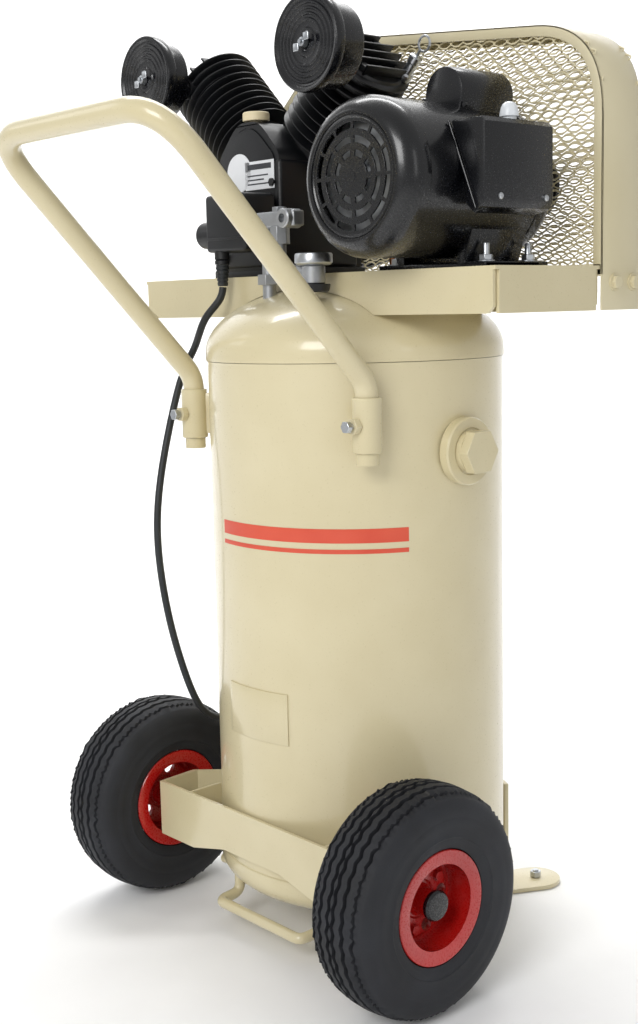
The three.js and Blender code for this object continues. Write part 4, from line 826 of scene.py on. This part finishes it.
# %% Oil cap and safety valve
cap_line = [(0, -14.5), (7.4, -14.5), (7.4, 1.8), (16, 1.8), (16.5, 2.4), (16.5, 11), (15.4, 12.3),
            (12, 12.6), (10, 11.4), (0, 11.4)]
cap = spun("moulded_oil_cap", cap_line, at(PUMP_X, -44, 985.3), "z", 48)
place_piece(cap, "filler_cap", CAP, ["oil_cap"])
valve_at = at(PUMP_X, 58, PUMP_Z) + Vector((0.030, 0, -0.030)) * math.sqrt(0.5)
base = HEAD_TOP - 3
valve_line = [(0, -12), (5, -12), (5, 1), (8, 1), (8, 4), (9, 5), (9, 9), (6.5, 11), (6.5, 24), (8, 26),
              (8, 33), (6, 34), (0, 34)]
body = spun("body", [(r, base + h) for r, h in valve_line], valve_at, BANK["right"], 40)
place_piece(body, "frame", ZINC, ["safety_valve"])

# %% [markdown]
# ### Labels
# Blank labels stand where the pump carries its notices: a round badge and a sheet with plain bars.

# %% Labels
label = block("sheet", at(-125, -61.4, 903), at(-70, -60.6, 937), 0.2, 1)
place_piece(label, "frame", PAPER, slot="black_casting")
bar_top = block("bar_top", at(-120, -61.7, 927), at(-75, -61.5, 933.5), 0.1, 1)
rules = [block("rule", at(-120, -61.7, z), at(-75 - trim, -61.5, z + 1.6), 0, 1)
         for z, trim in ((919, 6), (914, 14), (909, 2))]
place_piece(merged("printed_label_bars", [bar_top] + rules), "frame", INK, slot="black_casting")
badge = spun("round_badge", [(0, -61.4), (23, -61.4), (23.4, -60.8), (23.4, -60.4), (0, -60.4)],
             at(-137, 0, 925), "y", 64)
place_piece(badge, "frame", PAPER, slot="black_casting")

# %% [markdown]
# ## Motor
# A rolled frame stands on a folded base. The front bell is a pressed dish with three rings of vents.

# %% Motor frame
MOTOR_X, MOTOR_Z, MOTOR_R, BASE_Z = 172.0, 892.0, 82.0, 798.3
motor_at = at(MOTOR_X, 0, MOTOR_Z)


def motor_plate(name, outline, y0, depth, round_mm):
    """A plate whose outline is measured from the motor's axis."""
    return plate(name, [(MOTOR_X + x, MOTOR_Z + z) for x, z in outline], y0, depth, round_mm)


tube = [(56, -127.6), (MOTOR_R, -127.6), (MOTOR_R, 43.6), (56, 43.6), (56, -127.6)]
shell = spun("shell", tube, motor_at, "y", 128)
parts = [shell, block("base", at(MOTOR_X - 80, -46, BASE_Z), at(MOTOR_X + 80, 57.5, BASE_Z + 6), 1.5, 3)]
for s in (-1, 1):
    leg = [(s * 40, -68), (s * 64, -48), (s * 50, -87.6), (s * 80, -87.6), (s * 80, -93.6), (s * 40, -93.6)]
    parts.append(motor_plate("leg", leg, -46, 89, 1.2))
place_piece(merged("rolled_motor_frame", parts), "frame", BLACK, ["motor_frame"])

studs = []
for y in (-29, 40):
    for s in (-1, 1):
        spot = at(MOTOR_X + s * 66, y, BASE_Z)
        studs.append(spun("stud", [(0, 4), (3.9, 4), (3.9, 24.6), (3.2, 25.8), (0, 25.8)], spot, "z", 24))
        studs.append(spun("washer", [(0, 6.1), (9.6, 6.1), (9.6, 7.4), (0, 7.4)], spot, "z", 32))
        studs.append(hexagon("nut", 13.6, spot + Vector((0, 0, 0.0105)), "z", 6.2))
place_piece(merged("zinc_motor_studs", studs), "frame", ZINC, slot="zinc_steel")

# %% Bells
def pierced(name, outline, holes, y, thickness):
    """A flat sheet in X and Z with real holes, its edges slightly rounded."""
    curve = bpy.data.curves.new(name, "CURVE")
    curve.dimensions = "2D"
    curve.fill_mode = "BOTH"
    curve.extrude = thickness / 2000 - 0.0003
    curve.bevel_depth = 0.0003
    curve.bevel_resolution = 1
    for loop in [outline] + holes:
        spline = curve.splines.new("POLY")
        spline.points.add(len(loop) - 1)
        for point, (x, z) in zip(spline.points, loop):
            point.co = (x / 1000, z / 1000, 0, 1)
        spline.use_cyclic_u = True
    made = linked(name, curve)
    bpy.ops.object.convert(target="MESH")
    return turned(made, "x", 90, at(0, y + thickness / 2, 0))


def ring_points(radius, x, z, steps, start=0.0, sweep=2 * math.pi, closed=False):
    count = steps if not closed else steps - 1
    turns = [start + sweep * i / count for i in range(steps)]
    return [(x + radius * math.cos(t), z + radius * math.sin(t)) for t in turns]


holes = []
for r0, r1, count, web in ((20.5, 27.5, 8, 9), (34, 41.5, 8, 6.5), (48, 55.5, 12, 5)):
    for i in range(count):
        start = 2 * math.pi * i / count + math.radians(web / 2) * 30 / r0
        sweep = 2 * math.pi / count - math.radians(web) * 30 / r0
        outer = ring_points(r1, MOTOR_X, MOTOR_Z, 10, start, sweep, True)
        inner = ring_points(r0, MOTOR_X, MOTOR_Z, 10, start, sweep, True)
        holes.append(outer + inner[::-1])
vent = pierced("vent", ring_points(64.4, MOTOR_X, MOTOR_Z, 96), holes, -159.6, 2.4)
BELL_FRONT, BELL_REAR, BELL_R = -162.0, 44.2, MOTOR_R + 0.9


def motor_ring(name, line, end, steps):
    """A ring about the motor's axis; its profile is measured along the axis from one end."""
    return spun(name, [(r, end + depth) for r, depth in line], motor_at, "y", steps)


rim_line = [(62.8, 4.4), (62.8, 1.4), (63.6, 0.3), (65, 0), (67, 0.4), (71, 2.4), (75.2, 5.8), (78.6, 10),
            (81, 15), (BELL_R - 0.4, 20), (BELL_R, 24), (BELL_R, 33), (BELL_R - 0.5, 33.8), (78.5, 33.8),
            (78.5, 24), (74, 13), (66, 6), (62.8, 4.4)]
rim = motor_ring("rim", rim_line, BELL_FRONT, 128)
screw = motor_ring("screw", [(0, 1.3), (3.6, 1.3), (4.2, 2), (4.2, 4), (0, 4)], BELL_FRONT, 24)
seam_line = [(58.6, 2.2), (60, 1.2), (61.6, 1.6), (62.6, 3.2), (58.6, 3.2)]
seam = motor_ring("seam", seam_line, BELL_FRONT, 96)
place_piece(merged("pressed_front_bell", [rim, vent, screw, seam]), "frame", BLACK, ["motor_front_bell"])
fan_line = [(0, 9), (17, 9), (17, 12), (60, 16), (60, 18), (0, 18)]
fan = motor_ring("cooling_fan", fan_line, BELL_FRONT, 64)
place_piece(fan, "rotor_group", ALLOY, slot="zinc_steel")
rear_line = [(10.4, 28), (30, 28), (60, 26), (74, 16), (78, 4), (78, 0), (BELL_R - 0.6, 0), (BELL_R, 0.8),
             (BELL_R, 12), (BELL_R - 1, 15), (79, 22), (74, 27.5), (66, 31.2), (58, 32.8), (34, 33.8),
             (12, 33.8), (10.4, 33.4), (10.4, 28)]
rear_bell = motor_ring("pressed_rear_bell", rear_line, BELL_REAR, 128)
place_piece(rear_bell, "frame", BLACK, ["motor_rear_bell"])
print("front bell has", len(holes), "vents")

# %% Capacitor covers
def arch(name, radius, tilt_deg):
    """A domed cover with flat sides that run down to the motor, and a screw head at each side of its foot."""
    out = Vector((math.sin(math.radians(tilt_deg)), math.cos(math.radians(tilt_deg))))
    across = Vector((out.y, -out.x))
    lift = MOTOR_R + radius - 16
    points = [out * (lift + radius * math.sin(t)) + across * (radius * math.cos(t))
              for t in [math.pi * i / 32 for i in range(33)]]
    points += [out * (MOTOR_R - 12) - across * radius, out * (MOTOR_R - 12) + across * radius]
    cover = motor_plate("cover", points, -40, 84, 3.2)
    heads = []
    for s in (-1, 1):
        spot = out * (MOTOR_R + 0.5) + across * (s * (radius + 3))
        screw = [(0, -38), (2.6, -38), (2.6, -35), (0, -35)]
        heads.append(spun("screw", screw, at(MOTOR_X + spot.x, 0, MOTOR_Z + spot.y), "y", 16))
    return merged(name, [cover] + heads)


place_piece(arch("drawn_capacitor_cover_right", 27, 10), "frame", BLACK, ["capacitor_cover_right"])
place_piece(arch("drawn_capacitor_cover_left", 20, -38), "frame", BLACK, ["capacitor_cover_left"])

# %% Terminal box
base_line = [(76, -28), (89, -40), (108, -36), (112, -26), (112, 50), (105, 53), (64, 53), (76, 36)]
cover_line = [(104, -38), (111, -35), (115, -26), (115, 49), (110, 54), (68, 54)]
base = motor_plate("base", base_line, -74, 97, 2.0)
cover = motor_plate("cover", cover_line, -86, 109, 3.0)
fold = bent("fold", [at(MOTOR_X + 66, -85, MOTOR_Z + 53), at(MOTOR_X + 102, -85, MOTOR_Z - 36)], [], 1.6)
screw = [(0, 112), (3.4, 112), (3.4, 116.2), (2.4, 117.2), (0, 117.2)]
screws = [spun("screw", screw, at(MOTOR_X, y, MOTOR_Z - 24), "x", 20) for y in (-62, 10)]
place_piece(merged("folded_terminal_box", [base, cover, fold]), "frame", BLACK, ["terminal_box"])
place_piece(merged("zinc_cover_screws", screws), "frame", ZINC, slot="zinc_steel")
boot_line = [(0, -12), (7.6, -12), (7.6, 3.3), (10, 3.3), (10, 6), (9.4, 9), (8.6, 12.5), (7, 15.6),
             (4.4, 17.7), (2, 18.4), (0, 18.5)]
dome = spun("moulded_reset_boot", boot_line, at(MOTOR_X + 100, -31, MOTOR_Z + 54.3), "z", 40)
place_piece(dome, "reset", BOOT, ["reset_button"])

# %% [markdown]
# ## Controls
# A cast manifold carries the switch, the outlet, and a hexagonal drop to the regulator.

# %% Pressure switch
box = block("box", at(-138, -116, 828), at(-62, -66, 896), 5.0, 4)
nose = spun("nose", [(0, -13), (13.5, -13), (16, -10.5), (16, 13), (0, 13)], at(-149, -98, 850), "x", 48)
collar_line = [(0, -14), (9, -14), (9, -10), (7.6, -9), (9, -8), (9, 2), (0, 2)]
collar = spun("collar", collar_line, at(-119, -106, 828), "z", 32)
ridge = block("ridge", at(-134, -117.2, 842), at(-66, -115, 845), 0.8)
switch = merged("moulded_pressure_switch", [box, nose, collar, ridge])
place_piece(switch, "frame", PLASTIC, ["pressure_switch"])

# %% Manifold and regulator
RAIL_Y, RAIL_Z, REG = -110.0, 860.5, (62.0, -118.0)
rail = block("rail", at(-58, RAIL_Y - 8.5, RAIL_Z - 9), at(30, RAIL_Y + 8.5, RAIL_Z + 9), 2.4, 3)
port = spun("port", [(5.2, -8), (5.2, -16), (9.6, -16), (11, -14.6), (11, 8), (0, 8), (0, -6), (5.2, -6)],
            at(18, RAIL_Y, RAIL_Z), "y", 40)
nipple = spun("nipple", [(0, -12), (6, -12), (6, 8), (0, 8)], at(-60, RAIL_Y, RAIL_Z), "x", 32)
drop = hexagon("drop", 20, at(-4, RAIL_Y, RAIL_Z - 18), "z", 20)
upper = hexagon("upper", 15, at(-4, RAIL_Y, RAIL_Z + 11), "z", 6)
run = bent("run", [at(-4, RAIL_Y, RAIL_Z - 20), at(-4, RAIL_Y, 804), at(REG[0] - 8, REG[1], 798)], [12], 7.0)
body_line = [(0, -10), (12, -10), (13, -9), (13, 9), (12, 10), (0, 10)]
body = spun("body", body_line, at(*REG, 796), "z", 40)
riser = spun("riser", [(0, 0), (8, 0), (8, 94), (0, 94)], at(-30, -106, 770), "z", 32)
foot_nut = hexagon("foot_nut", 24, at(-30, -106, 793), "z", 12)
manifold = merged("cast_manifold", [rail, port, nipple, drop, upper, run, body, riser, foot_nut])
place_piece(manifold, "frame", ALLOY, ["manifold"])
knob = [(0, -9.3), (15.4, -9.3), (17, -8), (18.5, -2), (18.5, -0.6), (17.6, -0.3), (5, -0.3), (5, 4), (0, 4)]
grip = spun("moulded_regulator_knob", knob, at(*REG, 786), "z", 72)
place_piece(grip, "regulator", PLASTIC, ["regulator_knob"])
dial = [(0, 0), (18, 0), (20, 1.2), (21.3, 3), (21.3, 11.6), (20.4, 13.2), (19, 13.2), (18, 12), (0, 12)]
place_piece(spun("turned_gauge_case", dial, at(*REG, 806.3), "z", 72), "frame", ZINC, ["gauge"])
disc = [(0, 12.05), (17.8, 12.05), (17.8, 12.5), (0, 12.5)]
face = spun("printed_gauge_face", disc, at(*REG, 806.3), "z", 48)
place_piece(face, "frame", PAPER, slot="zinc_steel")

# %% Strain relief
sleeve = [(0, 787.7), (5.6, 787.7)]
for i in range(5):
    z = 789.5 + i * 4.6
    grow = i * 0.42
    sleeve += [(6.4 + grow, z), (6.6 + grow, z + 2.6), (5.9 + grow, z + 3.1), (5.9 + grow, z + 4.2)]
sleeve += [(8.4, 813.6), (0, 813.6)]
relief = spun("moulded_strain_relief", sleeve, at(-119, -106, 0), "z", 40)
place_piece(relief, "frame", JACKET, ["strain_relief"])

# %% [markdown]
# ## Feet
# Each foot is a floor tab with a round end and a strap welded up the tank, and a bolt stands in it.

# %% Feet
def foot(name, bearing_deg):
    """A floor tab with a round end, a strap up the tank, and a bolt through the tab."""
    near, end, half = 180.3, 268.0, 31.0
    turns = [math.pi * (i / 24 - 0.5) for i in range(25)]
    tip = [(end - half + half * math.cos(t), half * math.sin(t)) for t in turns]
    outline = [(near, -half)] + tip + [(near, half)]
    points = [Vector((x, y, 0)) / 1000 for x, y in outline]
    tab = from_points("tab", points, [], [list(range(len(points)))])
    thickened(tab, (0, 0, 0.006))
    soften(tab, 1.2, 2, 50)
    smooth(tab)
    strap = block("strap", Vector((near, -half, 0)) / 1000, Vector((near + 6, half, 150)) / 1000, 1.4)
    made = merged(name, [tab, strap])
    return turned(made, "z", bearing_deg, at(0, 0, 0))


for side, bearing in (("right", 62), ("left", 118)):
    place_piece(foot("welded_foot_" + side, bearing), "frame", CREAM, ["foot_" + side])
    reach = 236.0
    spot = at(reach * math.cos(math.radians(bearing)), reach * math.sin(math.radians(bearing)), 0)
    stem = spun("stem", [(0, 4), (4, 4), (4, 15.4), (3.2, 16), (0, 16)], spot, "z", 24)
    nut = hexagon("nut", 13, spot + Vector((0, 0, 0.0102)), "z", 7.6)
    place_piece(merged("zinc_foot_bolt_" + side, [stem, nut]), "frame", ZINC, slot="cream_paint")

# %% [markdown]
# ## Power cord
# The cord leaves a gland under the pressure switch, hangs beside the tank, passes inside the left
# wheel and ends in a plug beside a flat coil on the floor. Its line is drawn so that it
# hangs as a heavy rubber cord does, and the coil is laid in a loop.

# %% Power cord
CORD_R = 4.6
COIL_AT, COIL_R = (-240.0, 150.0), 55.0
GLAND = (-119, -106, 786.4)
ROUTE = [
    GLAND, (-119, -107, 778), (-122, -111, 768), (-136, -121, 752), (-152, -118, 735),
    (-170, -112, 716), (-179, -114, 703), (-186, -117, 691), (-189, -121, 678), (-191, -126, 664),
    (-195, -137, 623), (-187, -160, 563), (-180, -175, 507), (-178, -176, 449), (-172, -168, 374),
    (-164, -157, 318), (-159, -145, 276), (-161, -128, 248), (-170, -100, 232), (-180, -66, 222),
    (-188, -32, 211), (-193, -2, 192), (-194, 24, 158), (-191, 46, 120), (-187, 62, 84),
    (-183, 76, 54), (-180, 94, 28), (-180, 118, 11),
]
TAIL = [(-185, 164, 14.9), (-185, 177, 16), (-185, 190.5, 17)]


def coil_points():
    """Two turns: one flat on the floor, winding inwards by its own width, and one on top of it."""
    out = []
    for k in range(29):
        lap, t = k / 14, 2 * math.pi * k / 14
        over = max(0.0, lap - 1)
        r = COIL_R + 4.5 - 9.1 * min(lap, 1) + 4.6 * min(1, max(0, over * 4 - 1))
        lift = 5.2 + 9.2 * min(1, over * 4)
        out.append((COIL_AT[0] + r * math.cos(t), COIL_AT[1] + r * math.sin(t), lift))
    return out


line = [at(*p) for p in ROUTE + coil_points() + TAIL]
PLUG_AT = at(-185, 214, 17)
grip = [(0, -23), (5.6, -23), (7, -21.8), (8.6, -12), (13.4, -3), (15.6, 1), (16, 4), (15.4, 9), (15.4, 13),
        (16, 17), (15.2, 21.4), (14, 22), (0, 22)]
prongs = []
for x in (-6, 6):
    low, high = Vector((x - 0.8, 20, -3.2)) / 1000, Vector((x + 0.8, 40, 3.2)) / 1000
    prongs.append(block("prong", PLUG_AT + low, PLUG_AT + high, 0.4))
plug = place_piece(spun("moulded_plug", grip, PLUG_AT, "y", 48), "frame", JACKET, ["plug"])
place_piece(merged("plated_plug_blades", prongs), "frame", ZINC, slot="black_rubber")

cord_curve = bpy.data.curves.new("rubber_power_cord", "CURVE")
cord_curve.dimensions = "3D"
cord_curve.bevel_depth = CORD_R / 1000
cord_curve.bevel_resolution = 4
cord_curve.use_fill_caps = True
spline = cord_curve.splines.new("NURBS")
spline.points.add(len(line) - 1)
for point, spot in zip(spline.points, line):
    point.co = (*spot, 1.0)
spline.order_u = 4
spline.use_endpoint_u = True
spline.resolution_u = 6
cord = linked("rubber_power_cord", cord_curve)
cord.data.materials.append(JACKET)
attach(cord, "frame")
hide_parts("power_cord", "cord_coil")

# %% [markdown]
# ## Floor and light
# A pale sweep under soft light from above and in front, with a gentle fill, as in a product studio.
# Its wall rises beyond the machine, so it hides the machine from a viewpoint on that far side.

# %% Floor and light
floor_material, tree, shader, place = material("matt_white_floor", {"Specular IOR Level": 0.2})
surface(tree, shader, place, [(0.3, "#f2f2f2"), (0.7, "#f6f6f6")], 40.0, (0.7, 0.85), 0.01)
away = Vector((-0.748, 0.663, 0))
across = Vector((0.663, 0.748, 0))
BEND_AT, BEND_R, WALL_TOP, HALF_WIDTH = 1.6, 1.4, 4.5, 7.0
profile = [(-6.0, 0.0), (-2.0, 0.0)]
turns = [math.pi / 2 * i / 24 for i in range(25)]
profile += [(BEND_AT + BEND_R * math.sin(t), BEND_R * (1 - math.cos(t))) for t in turns]
profile.append((BEND_AT + BEND_R, WALL_TOP))
points = [away * s + across * side + Vector((0, 0, z - 0.0005))
          for s, z in profile for side in (-HALF_WIDTH, HALF_WIDTH)]
faces = [(2 * i, 2 * i + 1, 2 * i + 3, 2 * i + 2) for i in range(len(profile) - 1)]
floor = from_points("studio_sweep", points, [], faces)
smooth(floor, 60)
floor.data.materials.append(floor_material)

world = bpy.data.worlds.new("studio")
bpy.context.scene.world = world
world.use_nodes = True
background = world.node_tree.nodes["Background"]
background.inputs["Color"].default_value = (1.0, 1.0, 1.0, 1.0)
background.inputs["Strength"].default_value = 0.5


def softbox(name, spot, aim, size, power):
    data = bpy.data.lights.new(name, "AREA")
    data.shape = "RECTANGLE"
    data.size, data.size_y = size
    data.energy = power
    light = bpy.data.objects.new(name, data)
    bpy.context.scene.collection.objects.link(light)
    light.location = spot
    light.rotation_euler = (Vector(aim) - Vector(spot)).to_track_quat("-Z", "Y").to_euler()
    return light


softbox("key", (1.1, -2.9, 2.2), (0, 0, 0.6), (1.6, 1.4), 60)
softbox("side_right", (3.0, -0.2, 1.6), (0, 0, 0.6), (0.5, 1.6), 4)
softbox("fill_left", (-2.6, -1.6, 2.2), (0, 0, 0.5), (0.8, 1.2), 4)
softbox("sweep_light", (-1.2, 0.9, 3.6), (-2.6, 2.2, 0.6), (3.0, 1.0), 120)
bpy.context.scene.view_settings.view_transform = "Standard"
